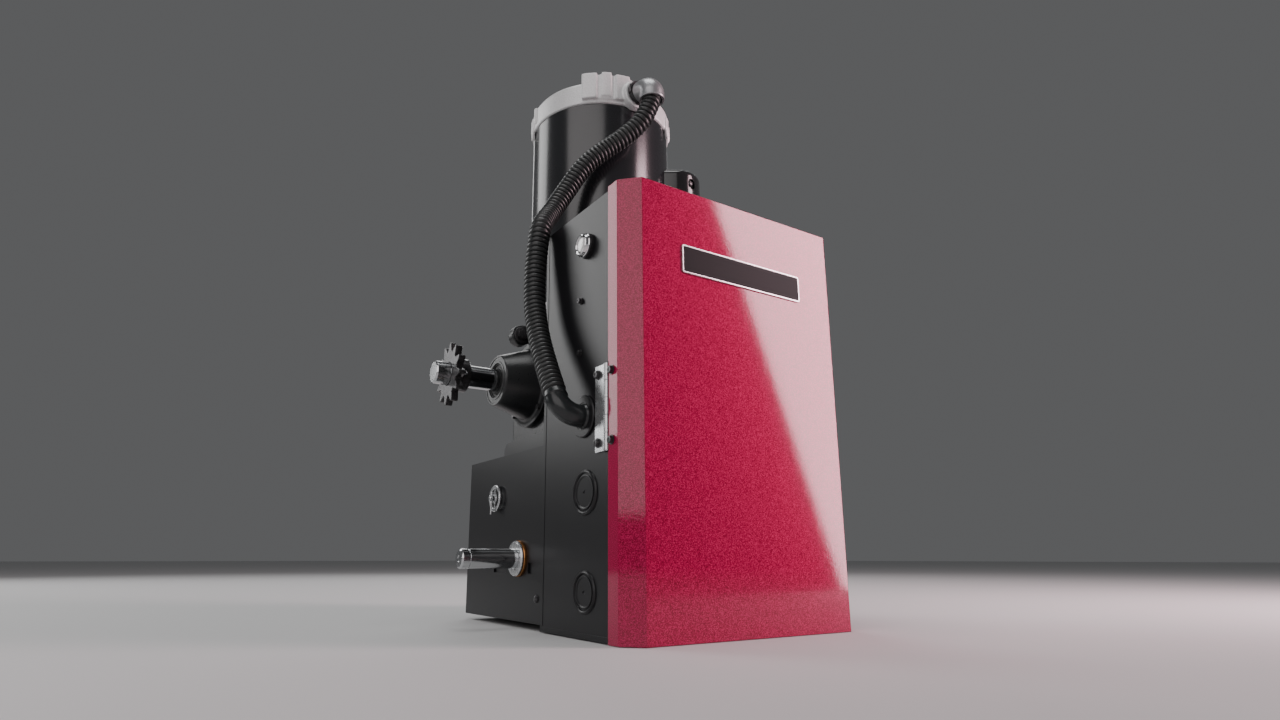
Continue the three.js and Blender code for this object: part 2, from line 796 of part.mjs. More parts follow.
const wormTopZ = gearAxisZ + 26;
const housingFrontY = motorAxisY - 31;
const housingRearY = lowerBackY - gap;
const casing = new THREE.Shape();
casing.moveTo(housingFrontY, baseTopZ + gap);
casing.lineTo(housingRearY, baseTopZ + gap);
casing.lineTo(housingRearY, gearAxisZ + 20);
casing.quadraticCurveTo(housingRearY, gearAxisZ + 50, gearAxisY + 16, gearAxisZ + 50);
casing.lineTo(gearAxisY - 10, gearAxisZ + 56);
casing.lineTo(motorAxisY - 31, gearAxisZ + 56);
casing.lineTo(housingFrontY, baseTopZ + gap);
const adapterBottomZ = flangeBottomZ - gap - 11;
const lugX = -96;
const lugY = gearAxisY - 2;
const lugZ = 151.5;
const lugRadius = 12;
const wormBore = wormRadius + gearModule + 2;
const gearHousing = prism("x", casing, housingLeftX, housingRightX, 8)
  .add(bar("z", [motorAxisX, motorAxisY, gearAxisZ + 20], adapterBottomZ + 11 - gearAxisZ - 20, 44, 60, 28))
  .add(bar("z", [motorAxisX, motorAxisY, adapterBottomZ], 11, motorRadius - 2, motorRadius - 2, 32))
  .add(
    bar("y", [lugX, lugY - 7, lugZ], 14, lugRadius, lugRadius, 24)
      .add(block(lugX, housingLeftX + 2, lugY - 7, lugY + 7, gearAxisZ + capFlangeRadius + 1, lugZ + lugRadius)),
  )
  .subtract(bar("y", [lugX, lugY - 8, lugZ], 16, 4.3, 4.3, 16))
  .subtract(bar("x", [housingLeftX - 1, gearAxisY, gearAxisZ], 2 * housingHalfWidth + 2, housingBore, housingBore, 28))
  .subtract(bar("z", [motorAxisX, motorAxisY, gearAxisZ - 30], 300, wormBore, wormBore, 24))
  .subtract(bar("z", [motorAxisX, motorAxisY, baseTopZ + 14], 60, wormFootRadius + gap, wormFootRadius + gap, 24));
piece("gear_housing", gearHousing, castIron);

// Bearing caps close both ends of the wheel's bore; the left one carries the long tapered boss.
const capSpigot = 9;
const capFlange = 6;
const bearingRadius = 26;
const bearingWidth = 15;
const leftFaceX = housingLeftX - gap;
const sealWidth = 7;
const sealRadius = 20;
const shaftClear = outputShaftRadius + gap;
const capFlangeX = leftFaceX - capFlange;
const capLeft = turned("x", [0, gearAxisY, gearAxisZ], [
  [sealRadius + gap, bossEndX],
  [bossEndRadius - 1.5, bossEndX],
  [bossEndRadius, bossEndX + 1.5],
  [bossRootRadius, capFlangeX],
  [capFlangeRadius, capFlangeX],
  [capFlangeRadius, leftFaceX],
  [housingBore - gap, leftFaceX],
  [housingBore - gap, leftFaceX + capSpigot],
  [bearingRadius + gap, leftFaceX + capSpigot],
  [bearingRadius + gap, leftFaceX + capSpigot - bearingWidth - gap],
  [shaftClear + 2, leftFaceX + capSpigot - bearingWidth - gap],
  [shaftClear + 2, bossEndX + sealWidth + gap],
  [sealRadius + gap, bossEndX + sealWidth + gap],
], 28);
piece("bearing_cap_left", capLeft, castIron);
const rightFaceX = housingRightX + gap;
const capRightProfile = [
  [0, rightFaceX + 10],
  [bearingRadius - 6, rightFaceX + 10],
  [bearingRadius - 6, rightFaceX - capSpigot + bearingWidth + gap],
  [bearingRadius + gap, rightFaceX - capSpigot + bearingWidth + gap],
  [bearingRadius + gap, rightFaceX - capSpigot],
  [housingBore - gap, rightFaceX - capSpigot],
  [housingBore - gap, rightFaceX],
  [capFlangeRadius, rightFaceX],
  [capFlangeRadius, rightFaceX + capFlange],
  [bossRootRadius - 6, rightFaceX + 14],
  [0, rightFaceX + 14],
];
const capRightLathe = new THREE.LatheGeometry(capRightProfile.map(([r, a]) => new THREE.Vector2(r, a)), 24);
turnTo(capRightLathe, "x");
capRightLathe.translate(0, gearAxisY, gearAxisZ);
const capRight = solid(capRightLathe);
piece("bearing_cap_right", capRight.volume() > 0 ? capRight : solid(flipped(capRightLathe)), castIron);

piece(
  "shaft_seal",
  ring("x", [bossEndX + 0.8, gearAxisY, gearAxisZ], sealWidth - 0.8, sealRadius, shaftClear),
  blackPlastic,
);
piece(
  "output_bearing_left",
  ring("x", [leftFaceX + capSpigot - bearingWidth, gearAxisY, gearAxisZ], bearingWidth, bearingRadius, shaftClear),
  steel,
);
piece(
  "output_bearing_right",
  ring("x", [rightFaceX - capSpigot, gearAxisY, gearAxisZ], bearingWidth - gap, bearingRadius, shaftClear),
  steel,
);
piece(
  "lug_bolt",
  bar("y", [lugX, lugY - 7 - gap - 5, lugZ], 5, 7, 7, 6)
    .add(bar("y", [lugX, lugY - 7 - gap - 0.5, lugZ], 19, 4, 4, 16)),
  blackSteel,
);

// The output shaft: keyed at its outer end for the sprocket and at the wheel.
const outputShaftRightX = rightFaceX - capSpigot + bearingWidth;
const keyDepth = keySize / 2;
const keywayEndX = sprocketFaceX + sprocketThickness + sprocketHubLength + 3;
const outputShaft = bar(
  "x",
  [outputShaftEndX + 1.2, gearAxisY, gearAxisZ],
  outputShaftRightX - outputShaftEndX - 1.2,
  outputShaftRadius,
)
  .add(bar("x", [outputShaftEndX, gearAxisY, gearAxisZ], 1.2, outputShaftRadius - 1.2, outputShaftRadius))
  .subtract(
    block(
      sprocketFaceX - 2,
      keywayEndX,
      gearAxisY - outputShaftRadius - 1,
      gearAxisY - outputShaftRadius + keyDepth,
      gearAxisZ - keySize / 2,
      gearAxisZ + keySize / 2,
    ),
  );
piece("output_shaft", outputShaft, steel);
piece(
  "drive_key",
  block(
    sprocketFaceX - 1.5,
    keywayEndX - gap,
    gearAxisY - outputShaftRadius - keyDepth + 0.4,
    gearAxisY - outputShaftRadius + keyDepth - gap,
    gearAxisZ - keySize / 2 + gap,
    gearAxisZ + keySize / 2 - gap,
  ),
  steel,
);

// A toothed outline round the axis: tooth tips and roots, each tooth four points wide.
function toothed(teeth, root, tip, rootShare, tipShare, centreU, centreV, phase) {
  const points = [];
  for (let i = 0; i < teeth; i += 1) {
    const middle = phase + (i * 2 * Math.PI) / teeth;
    const half = Math.PI / teeth;
    for (const [angle, radius] of [
      [-half * rootShare, root],
      [-half * tipShare, tip],
      [half * tipShare, tip],
      [half * rootShare, root],
    ])
      points.push([
        centreU + radius * Math.cos(middle + angle),
        centreV + radius * Math.sin(middle + angle),
      ]);
  }
  return outlineOf(points);
}
const hubX = sprocketFaceX + sprocketThickness;
piece(
  "drive_sprocket",
  prism(
    "x",
    toothed(sprocketTeeth, sprocketRootRadius, sprocketOuterRadius, 0.62, 0.2, gearAxisY, gearAxisZ, 0.12),
    sprocketFaceX,
    hubX,
  )
    .add(bar("x", [hubX - 1, gearAxisY, gearAxisZ], sprocketHubLength + 1, sprocketHubRadius))
    .subtract(bar("x", [sprocketFaceX - 1, gearAxisY, gearAxisZ], 60, shaftClear))
    .subtract(
      block(
        sprocketFaceX - 1,
        hubX + sprocketHubLength + 1,
        gearAxisY - outputShaftRadius - keyDepth,
        gearAxisY,
        gearAxisZ - keySize / 2,
        gearAxisZ + keySize / 2,
      ),
    )
    .subtract(bar("y", [hubX + sprocketHubLength / 2, gearAxisY - sprocketHubRadius - 1, gearAxisZ], 12, 3.3, 3.3, 16)),
  blackSteel,
);
piece(
  "sprocket_set_screw",
  bar(
    "y",
    [hubX + sprocketHubLength / 2, gearAxisY - sprocketHubRadius + 0.6, gearAxisZ],
    sprocketHubRadius - outputShaftRadius - keyDepth - 0.6,
    3,
    3,
    12,
  ),
  zinc,
);

// The worm wheel: slanted teeth round a hub, twisted by the worm's lead.
const leadSlope = wormPitch / (2 * Math.PI * wormRadius);
const wheelOutline = toothed(
  wheelTeeth,
  wheelRadius - 1.2 * gearModule,
  wheelRadius + 0.85 * gearModule,
  0.62,
  0.2,
  0,
  0,
  Math.PI,
);
const wheelRim = new THREE.ExtrudeGeometry(wheelOutline, { depth: wheelWidth, steps: 1, bevelEnabled: false });
const rimPlace = wheelRim.attributes.position;
for (let i = 0; i < rimPlace.count; i += 1) {
  const along = rimPlace.getZ(i) - wheelWidth / 2;
  const twist = (leadSlope * along) / wheelRadius;
  const [u, v] = [rimPlace.getX(i), rimPlace.getY(i)];
  rimPlace.setXYZ(
    i,
    motorAxisX + along,
    gearAxisY + u * Math.cos(twist) - v * Math.sin(twist),
    gearAxisZ + u * Math.sin(twist) + v * Math.cos(twist),
  );
}
piece(
  "worm_wheel",
  solid(wheelRim)
    .add(bar("x", [motorAxisX - 16, gearAxisY, gearAxisZ], 32, 21))
    .subtract(bar("x", [motorAxisX - 17, gearAxisY, gearAxisZ], 34, shaftClear)),
  bronze,
);

// ---- Motor ----

const shaftBottomZ = baseTopZ + 14 + gap;
const shaftTopZ = shellTopZ + 16;
// The worm's thread: a ridge swept up a right-hand helix and joined to its core.
function wormThread() {
  const turns = 4;
  const stepsPerTurn = 12;
  const steps = turns * stepsPerTurn;
  const tip = wormRadius + 0.85 * gearModule;
  const root = wormRadius - 1.35 * gearModule;
  const tipHalf = wormPitch * 0.085;
  const rootHalf = wormPitch * 0.26;
  const section = [[root, -rootHalf], [tip, -tipHalf], [tip, tipHalf], [root, rootHalf]];
  const places = [];
  const faces = [];
  for (let i = 0; i <= steps; i += 1) {
    const angle = (i * 2 * Math.PI) / stepsPerTurn;
    // At the wheel's side, a quarter turn round, the wheel's tooth lies midway between two ridges.
    const rise = wormPitch * (i / stepsPerTurn - turns / 2 - 0.25);
    for (const [radius, offset] of section)
      places.push(
        motorAxisX + radius * Math.cos(angle),
        motorAxisY + radius * Math.sin(angle),
        gearAxisZ + rise + offset + (turns % 2 ? 0 : wormPitch / 2),
      );
    if (i === steps) continue;
    for (let k = 0; k < 4; k += 1) {
      const [a, b] = [4 * i + k, 4 * i + ((k + 1) % 4)];
      faces.push(a, a + 4, b, b, a + 4, b + 4);
    }
  }
  const end = 4 * steps;
  faces.push(0, 1, 2, 0, 2, 3, end, end + 2, end + 1, end, end + 3, end + 2);
  const geometry = new THREE.BufferGeometry();
  geometry.setAttribute("position", new THREE.Float32BufferAttribute(places, 3));
  geometry.setIndex(faces);
  const shape = solid(geometry);
  return shape.volume() > 0 ? shape : solid(flipped(geometry));
}
const wormCore = wormRadius - 1.2 * gearModule;
const lowerBearingBottomZ = flangeBottomZ + gap;
piece(
  "worm_shaft",
  bar("z", [motorAxisX, motorAxisY, shaftBottomZ], gearAxisZ - 26 - shaftBottomZ, wormFootRadius)
    .add(bar("z", [motorAxisX, motorAxisY, gearAxisZ - 27], 54, wormCore, wormCore))
    .add(wormThread())
    .add(bar("z", [motorAxisX, motorAxisY, wormTopZ], shaftTopZ - wormTopZ, motorShaftRadius, motorShaftRadius)),
  steel,
);
piece(
  "motor_flange",
  turned("z", [motorAxisX, motorAxisY, 0], [
    [23.5 + gap, flangeBottomZ],
    [motorRadius - 2, flangeBottomZ],
    [motorRadius, flangeBottomZ + 2],
    [motorRadius, flangeTopZ],
    [motorRadius - motorWall - gap, flangeTopZ],
    [motorRadius - motorWall - gap, flangeTopZ + 6],
    [34, flangeTopZ + 6],
    [34, flangeTopZ + 12],
    [23.5 + gap, flangeTopZ + 12],
  ], 28),
  castAluminium,
);
piece(
  "lower_motor_bearing",
  ring("z", [motorAxisX, motorAxisY, lowerBearingBottomZ], 14, 23.5, motorShaftRadius + gap, 20),
  steel,
);
piece(
  "motor_shell",
  ring("z", [motorAxisX, motorAxisY, shellBottomZ], shellTopZ - shellBottomZ, motorRadius, motorRadius - motorWall, 40),
  blackPaint,
);
const statorBottomZ = (shellBottomZ + shellTopZ - statorHeight) / 2;
piece(
  "stator",
  ring("z", [motorAxisX, motorAxisY, statorBottomZ], statorHeight, motorRadius - motorWall - gap, statorInnerRadius, 24)
    .add(
      ring(
        "z",
        [motorAxisX, motorAxisY, statorBottomZ - coilOverhang],
        statorHeight + 2 * coilOverhang,
        motorRadius - 12,
        statorInnerRadius + 6,
        16,
      ),
    ),
  copper,
);
piece(
  "rotor",
  ring(
    "z",
    [motorAxisX, motorAxisY, statorBottomZ - 1],
    rotorHeight,
    statorInnerRadius - airGap,
    motorShaftRadius + gap,
    20,
  ),
  steel,
);

// The cast end bell: a cup with a raised pad, ribs, and lugs that reach down over the shell.
const bellTopZ = shellTopZ + bellBandHeight;
const upperBearingRadius = 20;
const upperBearingBottomZ = shellTopZ + 3;
const bellCup = (() => {
  const profile = [
    [0, shellTopZ + 20],
    [upperBearingRadius + gap, shellTopZ + 20],
    [upperBearingRadius + gap, shellTopZ + 2],
    [upperBearingRadius + 6, shellTopZ + 2],
    [upperBearingRadius + 6, shellTopZ + 21],
    [bellRadius - 10, shellTopZ + 21],
    [motorRadius - motorWall - 4, shellTopZ + 12],
    [motorRadius - motorWall - 4, shellTopZ - 4],
    [motorRadius - motorWall - gap, shellTopZ - 4],
    [motorRadius - motorWall - gap, shellTopZ + gap],
    [bellRadius, shellTopZ + gap],
    [bellRadius, bellTopZ - 5],
    [bellRadius - 2, bellTopZ - 1],
    [bellRadius - 8, bellTopZ + 2],
    [40, bellTopZ + 7],
    [0, bellTopZ + 8],
  ];
  const lathe = new THREE.LatheGeometry(profile.map(([r, a]) => new THREE.Vector2(r, a)), 36);
  turnTo(lathe, "z");
  lathe.translate(motorAxisX, motorAxisY, 0);
  const shape = solid(lathe);
  return shape.volume() > 0 ? shape : solid(flipped(lathe));
})();
// A pad that follows the bell's rim between two angles, in degrees.
function rimPad(fromAngle, toAngle, inner, outer, bottom, top, segments = 3) {
  const outline = new THREE.Shape();
  const [from, to] = [fromAngle, toAngle].map((angle) => (angle * Math.PI) / 180);
  outline.absarc(motorAxisX, motorAxisY, outer, from, to, false);
  outline.absarc(motorAxisX, motorAxisY, inner, to, from, true);
  return prism("z", outline, bottom, top, segments);
}
const bellRimZ = shellTopZ + gap;
let endBell = bellCup
  .add(rimPad(-136, -124.5, bellRadius - 6, bellRadius + 5.5, bellRimZ + 4, bellTopZ + 7))
  .add(rimPad(-125, -112, bellRadius - 6, bellRadius + 3, bellRimZ + 4, bellTopZ + 6))
  .add(rimPad(-119.5, -114.5, bellRadius - 6, bellRadius + 5.5, bellRimZ + 4, bellTopZ + 7, 1))
  .add(rimPad(-110.5, -99, bellRadius - 6, bellRadius + 5.5, bellRimZ + 4, bellTopZ + 7))
  .add(rimPad(-113, -98, bellRadius - 6, bellRadius + 3, bellRimZ + 4, bellTopZ + 6));
const bossFaceY = motorAxisY - bellRadius - 8;
const connectorX = motorAxisX - 7;
const shellClearance = bar("z", [motorAxisX, motorAxisY, shellTopZ - 20], 20 + gap, motorRadius + gap, motorRadius + gap, 48);
endBell = endBell
  .add(bar("y", [connectorX, bossFaceY, connectorZ], 22, 17, 17, 24).subtract(shellClearance))
  .subtract(bar("y", [connectorX, bossFaceY - 1, connectorZ], 40, nippleRadius + gap, nippleRadius + gap, 24));
for (const angle of [169, 115, 25, -30])
  endBell = endBell.add(rimPad(angle - 1.8, angle + 1.8, bellRadius - 4, bellRadius + 2, bellRimZ + 3, bellTopZ - 2, 1));
// Lugs that hold the through bolts reach down over the shell.
for (const angle of [164, 74, -16, -52])
  endBell = endBell.add(
    rimPad(angle - 3.4, angle + 3.4, motorRadius + gap, bellRadius + 2.5, shellTopZ - 12, bellTopZ - 17, 1),
  );
piece("end_bell", endBell, castAluminium);
piece(
  "upper_motor_bearing",
  ring("z", [motorAxisX, motorAxisY, upperBearingBottomZ], 13, upperBearingRadius, motorShaftRadius + gap, 20),
  steel,
);

// Capacitor on the motor's right front, under a pressed cover with rounded ends.
const capacitorDirection = (capacitorAngle * Math.PI) / 180;
// An outline drawn as [outwards from the motor axis, sideways], turned to the capacitor's angle.
function acrossMotor(points) {
  const [c, s] = [Math.cos(capacitorDirection), Math.sin(capacitorDirection)];
  return points.map(([out, side]) => [motorAxisX + out * c - side * s, motorAxisY + out * s + side * c]);
}
function humpOutline(reach, halfWidth, foot) {
  const points = [];
  const turns = 12;
  for (let i = 0; i <= turns; i += 1) {
    const angle = -Math.PI / 2 + (i * Math.PI) / turns;
    const out = motorRadius + reach - halfWidth + halfWidth * Math.cos(angle);
    points.push([Math.max(out, motorRadius + foot), halfWidth * Math.sin(angle)]);
  }
  return outlineOf(acrossMotor([[motorRadius - 12, -halfWidth], ...points, [motorRadius - 12, halfWidth]]));
}
const motorClearance = bar(
  "z",
  [motorAxisX, motorAxisY, capacitorBottomZ - 20],
  capacitorTopZ - capacitorBottomZ + 40,
  motorRadius + gap,
  motorRadius + gap,
  48,
);
const half = capacitorWidth / 2;
const capacitorCover = prism("z", humpOutline(capacitorReach, half, 1), capacitorBottomZ, capacitorTopZ)
  .subtract(
    prism(
      "z",
      humpOutline(capacitorReach - capacitorSheet, half - capacitorSheet, 1),
      capacitorBottomZ + capacitorSheet,
      capacitorTopZ - capacitorSheet,
    ),
  )
  .subtract(motorClearance);
piece("capacitor_cover", capacitorCover, blackPaint);
const [[capacitorX, capacitorY]] = acrossMotor([[motorRadius + 17.5, 0]]);
piece(
  "capacitor",
  bar("z", [capacitorX, capacitorY, capacitorBottomZ + 8], 100, 16, 16, 28)
    .add(bar("z", [capacitorX, capacitorY, capacitorBottomZ + 107], 4, 14, 14, 28)),
  greyPlastic,
);

// ---- Hose and its fittings ----

piece(
  "conduit",
  tubeAlong(new THREE.CatmullRomCurve3(hoseRoute.map(([x, y, z]) => new THREE.Vector3(x, y, z))), hoseRadius, 34, 10),
  blackPlastic,
);
// The smooth elbow leaves the box's side, bends through a right angle and enters the hose's end.
const hoseStart = new THREE.Vector3(...hoseRoute[0]);
const rise = new THREE.Vector3(0, hoseStart.y - elbowY, hoseStart.z - elbowZ).normalize();
const elbowFaceX = -boxSideX - gap;
const elbowFlangeDepth = 2.4;
const elbowStartX = elbowFaceX - elbowFlangeDepth;
const bendStart = new THREE.Vector3(hoseStart.x + elbowBend, elbowY, elbowZ);
const bendEnd = new THREE.Vector3(hoseStart.x, elbowY, elbowZ).addScaledVector(rise, elbowBend);
const elbowPath = new THREE.CurvePath();
elbowPath.add(new THREE.LineCurve3(new THREE.Vector3(elbowStartX, elbowY, elbowZ), bendStart));
elbowPath.add(
  new THREE.CubicBezierCurve3(
    bendStart,
    bendStart.clone().add(new THREE.Vector3(-elbowBend * 0.552, 0, 0)),
    bendEnd.clone().addScaledVector(rise, -elbowBend * 0.552),
    bendEnd,
  ),
);
elbowPath.add(new THREE.LineCurve3(bendEnd, hoseStart.clone().addScaledVector(rise, -3 * gap)));
const elbowTube = tubeAlong(elbowPath, elbowRadius, 14, 14)
  .add(bar("x", [elbowStartX - 1, elbowY, elbowZ], boxSheet + elbowFlangeDepth + gap + 11, nippleRadius, nippleRadius, 24));
piece(
  "conduit_elbow",
  elbowTube.subtract(bar("x", [elbowStartX, elbowY, elbowZ], 40, 5.5, 5.5, 16)),
  blackPlastic,
);
piece(
  "elbow_flange",
  turned("x", [elbowFaceX, elbowY, elbowZ], [
    [nippleRadius + gap, -elbowFlangeDepth + gap],
    [elbowFlangeRadius - 1, -elbowFlangeDepth + gap],
    [elbowFlangeRadius, -1.2],
    [elbowFlangeRadius, 0],
    [nippleRadius + gap, 0],
  ]),
  blackPaint,
);
// The motor's connector: a lock ring on the bell and a hooded die-cast body that opens downwards.
const nutThickness = 5;
piece(
  "connector_nut",
  ring("y", [connectorX, bossFaceY - gap - nutThickness, connectorZ], nutThickness, 14.5, nippleRadius + gap, 24),
  blackSteel,
);
const [hoodX, hoodY, hoseTopZ] = hoseRoute[hoseRoute.length - 1];
const hoodBottomZ = hoseTopZ - 6;
const bodyStartY = bossFaceY - nutThickness - 2 * gap;
const bodyPath = new THREE.QuadraticBezierCurve3(
  new THREE.Vector3(connectorX, bodyStartY - 2.4, connectorZ - 2),
  new THREE.Vector3(hoodX, hoodY, connectorZ - 2),
  new THREE.Vector3(hoodX, hoodY, hoodBottomZ),
);
const connectorBody = tubeAlong(bodyPath, hoodRadius - 1.8, 8, 18)
  .add(bar("y", [connectorX, bodyStartY - 8, connectorZ], bossFaceY + 18 - bodyStartY, nippleRadius, nippleRadius, 20))
  .add(bar("z", [hoodX, hoodY, hoodBottomZ], 9, hoodRadius, hoodRadius - 0.8, 24));
piece(
  "motor_connector",
  connectorBody.subtract(bar("z", [hoodX, hoodY, hoodBottomZ - 1], 8, hoseRadius + 1.3, hoseRadius + 1.3, 20)),
  zinc,
);

// ---- Hoist shaft ----

const bushFaceX = lowerSideX + gap;
function bushing(side) {
  const flange = [
    [hoistShaftRadius + gap, 0],
    [hoistShaftRadius + gap, 12],
    [bushingSleeveRadius, 12],
    [bushingSleeveRadius, bushingFlangeThickness],
    [bushingFlangeRadius, bushingFlangeThickness],
    [bushingFlangeRadius - 0.6, 0],
  ].map(([r, along]) => [r, side < 0 ? along : -along]);
  return turned("x", [side * (bushFaceX + bushingFlangeThickness), hoistAxisY, hoistAxisZ], flange, 24);
}
piece("hoist_bushing_left", bushing(-1), bronze);
piece("hoist_bushing_right", bushing(1), bronze);
const washerX = -bushFaceX - bushingFlangeThickness - gap;
const grooveRadius = hoistShaftRadius - 0.9;
piece(
  "thrust_washer",
  ring("x", [washerX - 2, hoistAxisY, hoistAxisZ], 2, bushingFlangeRadius - 0.6, hoistShaftRadius + gap, 24),
  zinc,
);
const hoistRightX = bushFaceX + bushingFlangeThickness + 6;
let hoistShaft = bar("x", [hoistShaftEndX + 1, hoistAxisY, hoistAxisZ], hoistRightX - hoistShaftEndX - 1, hoistShaftRadius)
  .add(bar("x", [hoistShaftEndX, hoistAxisY, hoistAxisZ], 1, hoistShaftRadius - 1, hoistShaftRadius));
hoistShaft = hoistShaft.subtract(
  ring("x", [hoistShaftEndX + 7, hoistAxisY, hoistAxisZ], 2, hoistShaftRadius + 1, grooveRadius),
);
piece("hoist_shaft", hoistShaft, steel);
piece(
  "hoist_sprocket",
  prism(
    "x",
    toothed(hoistTeeth, hoistSprocketRadius - 7, hoistSprocketRadius, 0.62, 0.2, hoistAxisY, hoistAxisZ, 0),
    20,
    26,
  )
    .add(bar("x", [25, hoistAxisY, hoistAxisZ], 16, 16))
    .subtract(bar("x", [19, hoistAxisY, hoistAxisZ], 24, hoistShaftRadius + gap)),
  steel,
);

// ---- Hoist release pin and its ring ----

const pinOuterX = -lowerSideX - releaseReach;
const ringHoleX = pinOuterX + 7;
piece(
  "release_pin",
  bar("x", [pinOuterX, releaseY, releaseZ], lowerSideX + releaseReach - 80, releasePinRadius, releasePinRadius, 20)
    .add(bar("x", [-sidePlateX + sidePlateThickness + releaseTravel + 4, releaseY, releaseZ], 4, 7, 7, 20))
    .subtract(bar("z", [ringHoleX, releaseY, releaseZ - 6], 12, ringWire + 0.35, ringWire + 0.35, 12)),
  steel,
);
// The ring's straight leg passes through the pin and holds it in the plane of the housing's side.
const ringGeometry = new THREE.TorusGeometry(ringRadius, ringWire, 6, 24);
ringGeometry.rotateY(Math.PI / 2);
ringGeometry.translate(ringHoleX, releaseY, releaseZ);
piece(
  "release_ring",
  solid(ringGeometry).add(
    bar("z", [ringHoleX, releaseY, releaseZ - ringRadius - 5], 2 * ringRadius + 5, ringWire, ringWire, 10),
  ),
  zinc,
);

export default opener;
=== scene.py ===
"""A wall-hung gear-head garage door opener: motor, worm reducer, lower housing and control box."""

import math

import bpy
from mathutils import Matrix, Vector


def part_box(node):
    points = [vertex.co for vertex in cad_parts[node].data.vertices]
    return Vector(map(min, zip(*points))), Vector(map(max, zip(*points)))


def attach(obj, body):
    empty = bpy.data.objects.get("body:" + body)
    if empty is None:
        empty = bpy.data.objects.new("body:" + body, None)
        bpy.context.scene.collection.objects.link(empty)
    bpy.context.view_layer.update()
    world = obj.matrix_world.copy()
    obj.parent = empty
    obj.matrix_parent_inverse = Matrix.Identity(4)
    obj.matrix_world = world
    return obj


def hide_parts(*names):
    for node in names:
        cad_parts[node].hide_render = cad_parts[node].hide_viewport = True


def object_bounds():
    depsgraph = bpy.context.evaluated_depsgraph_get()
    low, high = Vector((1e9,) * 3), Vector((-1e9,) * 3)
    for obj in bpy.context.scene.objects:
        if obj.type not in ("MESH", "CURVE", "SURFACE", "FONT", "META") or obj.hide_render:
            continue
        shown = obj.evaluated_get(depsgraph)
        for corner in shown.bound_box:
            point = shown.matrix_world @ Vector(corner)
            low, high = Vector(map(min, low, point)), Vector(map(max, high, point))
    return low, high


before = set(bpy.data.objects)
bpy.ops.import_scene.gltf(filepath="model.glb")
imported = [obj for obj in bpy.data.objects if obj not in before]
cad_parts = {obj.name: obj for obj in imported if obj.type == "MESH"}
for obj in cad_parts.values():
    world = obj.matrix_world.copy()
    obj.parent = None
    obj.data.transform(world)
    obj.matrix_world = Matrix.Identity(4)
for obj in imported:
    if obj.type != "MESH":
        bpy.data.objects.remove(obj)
cad_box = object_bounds()
mm = 0.001

# ---------------------------------------------------------------------------------------------
# Camera, floor and lamps. The opener stands on a pale floor, lit by a tall leaning panel
# whose reflection crosses the cover and four soft ones, and it is seen from low on its left.
# ---------------------------------------------------------------------------------------------

scene = bpy.context.scene
camera_data = bpy.data.cameras.new("camera")
camera_data.sensor_width = 36
camera_data.lens = 20.2545
camera_data.shift_x = 0.02426
camera_data.shift_y = 0.02445
camera_data.clip_start = 0.01
camera_data.clip_end = 60
camera = bpy.data.objects.new("camera", camera_data)
camera.location = (-0.4450, -0.8032, -0.1044)
camera.rotation_euler = (math.radians(103.05), 0, math.radians(-32.475))
scene.collection.objects.link(camera)
scene.camera = camera


def rest():
    """Object mode with nothing selected."""
    if bpy.context.mode != "OBJECT":
        bpy.ops.object.mode_set(mode="OBJECT")
    bpy.ops.object.select_all(action="DESELECT")


def settle(name):
    """Names the object just added and puts its place into its mesh."""
    piece = bpy.context.object
    piece.name = name
    piece.data.name = name
    bpy.ops.object.transform_apply(location=True, rotation=True, scale=True)
    bpy.ops.object.select_all(action="DESELECT")
    return piece


rest()
floor_height = cad_box[0][2] - 0.4 * mm
bpy.ops.mesh.primitive_grid_add(x_subdivisions=2, y_subdivisions=2, size=30, location=(0, 4, floor_height))
floor = settle("floor")
floor_paint = bpy.data.materials.new("floor_paint")
floor_paint.use_nodes = True
floor_shader = floor_paint.node_tree.nodes["Principled BSDF"]
floor_shader.inputs["Base Color"].default_value = (0.68, 0.68, 0.68, 1)
floor_shader.inputs["Roughness"].default_value = 0.75
floor.data.materials.append(floor_paint)

world = bpy.data.worlds.new("studio")
world.use_nodes = True
world.node_tree.nodes["Background"].inputs["Color"].default_value = (0.84, 0.85, 0.87, 1)
world.node_tree.nodes["Background"].inputs["Strength"].default_value = 0.13
scene.world = world


def lamp(name, place, aim, width, height, power, colour=(1, 1, 1), turn=0):
    """A soft rectangular panel at a place, facing a point."""
    data = bpy.data.lights.new(name, "AREA")
    data.shape = "RECTANGLE"
    data.size = width
    data.size_y = height
    data.energy = power
    data.color = colour
    panel = bpy.data.objects.new(name, data)
    panel.location = place
    toward = [a - p for a, p in zip(aim, place)]
    yaw = math.atan2(-toward[0], toward[1])
    pitch = math.atan2(toward[2], math.hypot(toward[0], toward[1]))
    panel.rotation_euler = (math.radians(90) + pitch, turn, yaw)
    scene.collection.objects.link(panel)
    return panel


lamp("right_panel", (0.93, -1.0, 0.42), (0.93, 0, 0.42), 0.5, 1.23, 30, colour=(1, 0.7, 0.76),
     turn=math.radians(-21.7))
lamp("front_panel", (-2.1, -1.5, 1.1), (-0.1, -0.3, 0.1), 2.6, 2.2, 27, colour=(1, 0.95, 0.95))
lamp("left_panel", (-1.25, 1.65, 1.15), (-0.1, -0.1, 0.2), 0.9, 1.6, 15)
lamp("back_panel", (0.9, 1.6, 1.2), (0, 0, 0.2), 1.2, 1.2, 10)
lamp("top_panel", (-0.3, -0.3, 2.2), (0, -0.1, 0.1), 1.2, 1.0, 12)


# ---------------------------------------------------------------------------------------------
# Ribbed hose between the motor's connector and the elbow on the control box. Moulded black
# plastic with a half-round rib every 5 mm; it slips over both fittings and holds itself.
# ---------------------------------------------------------------------------------------------

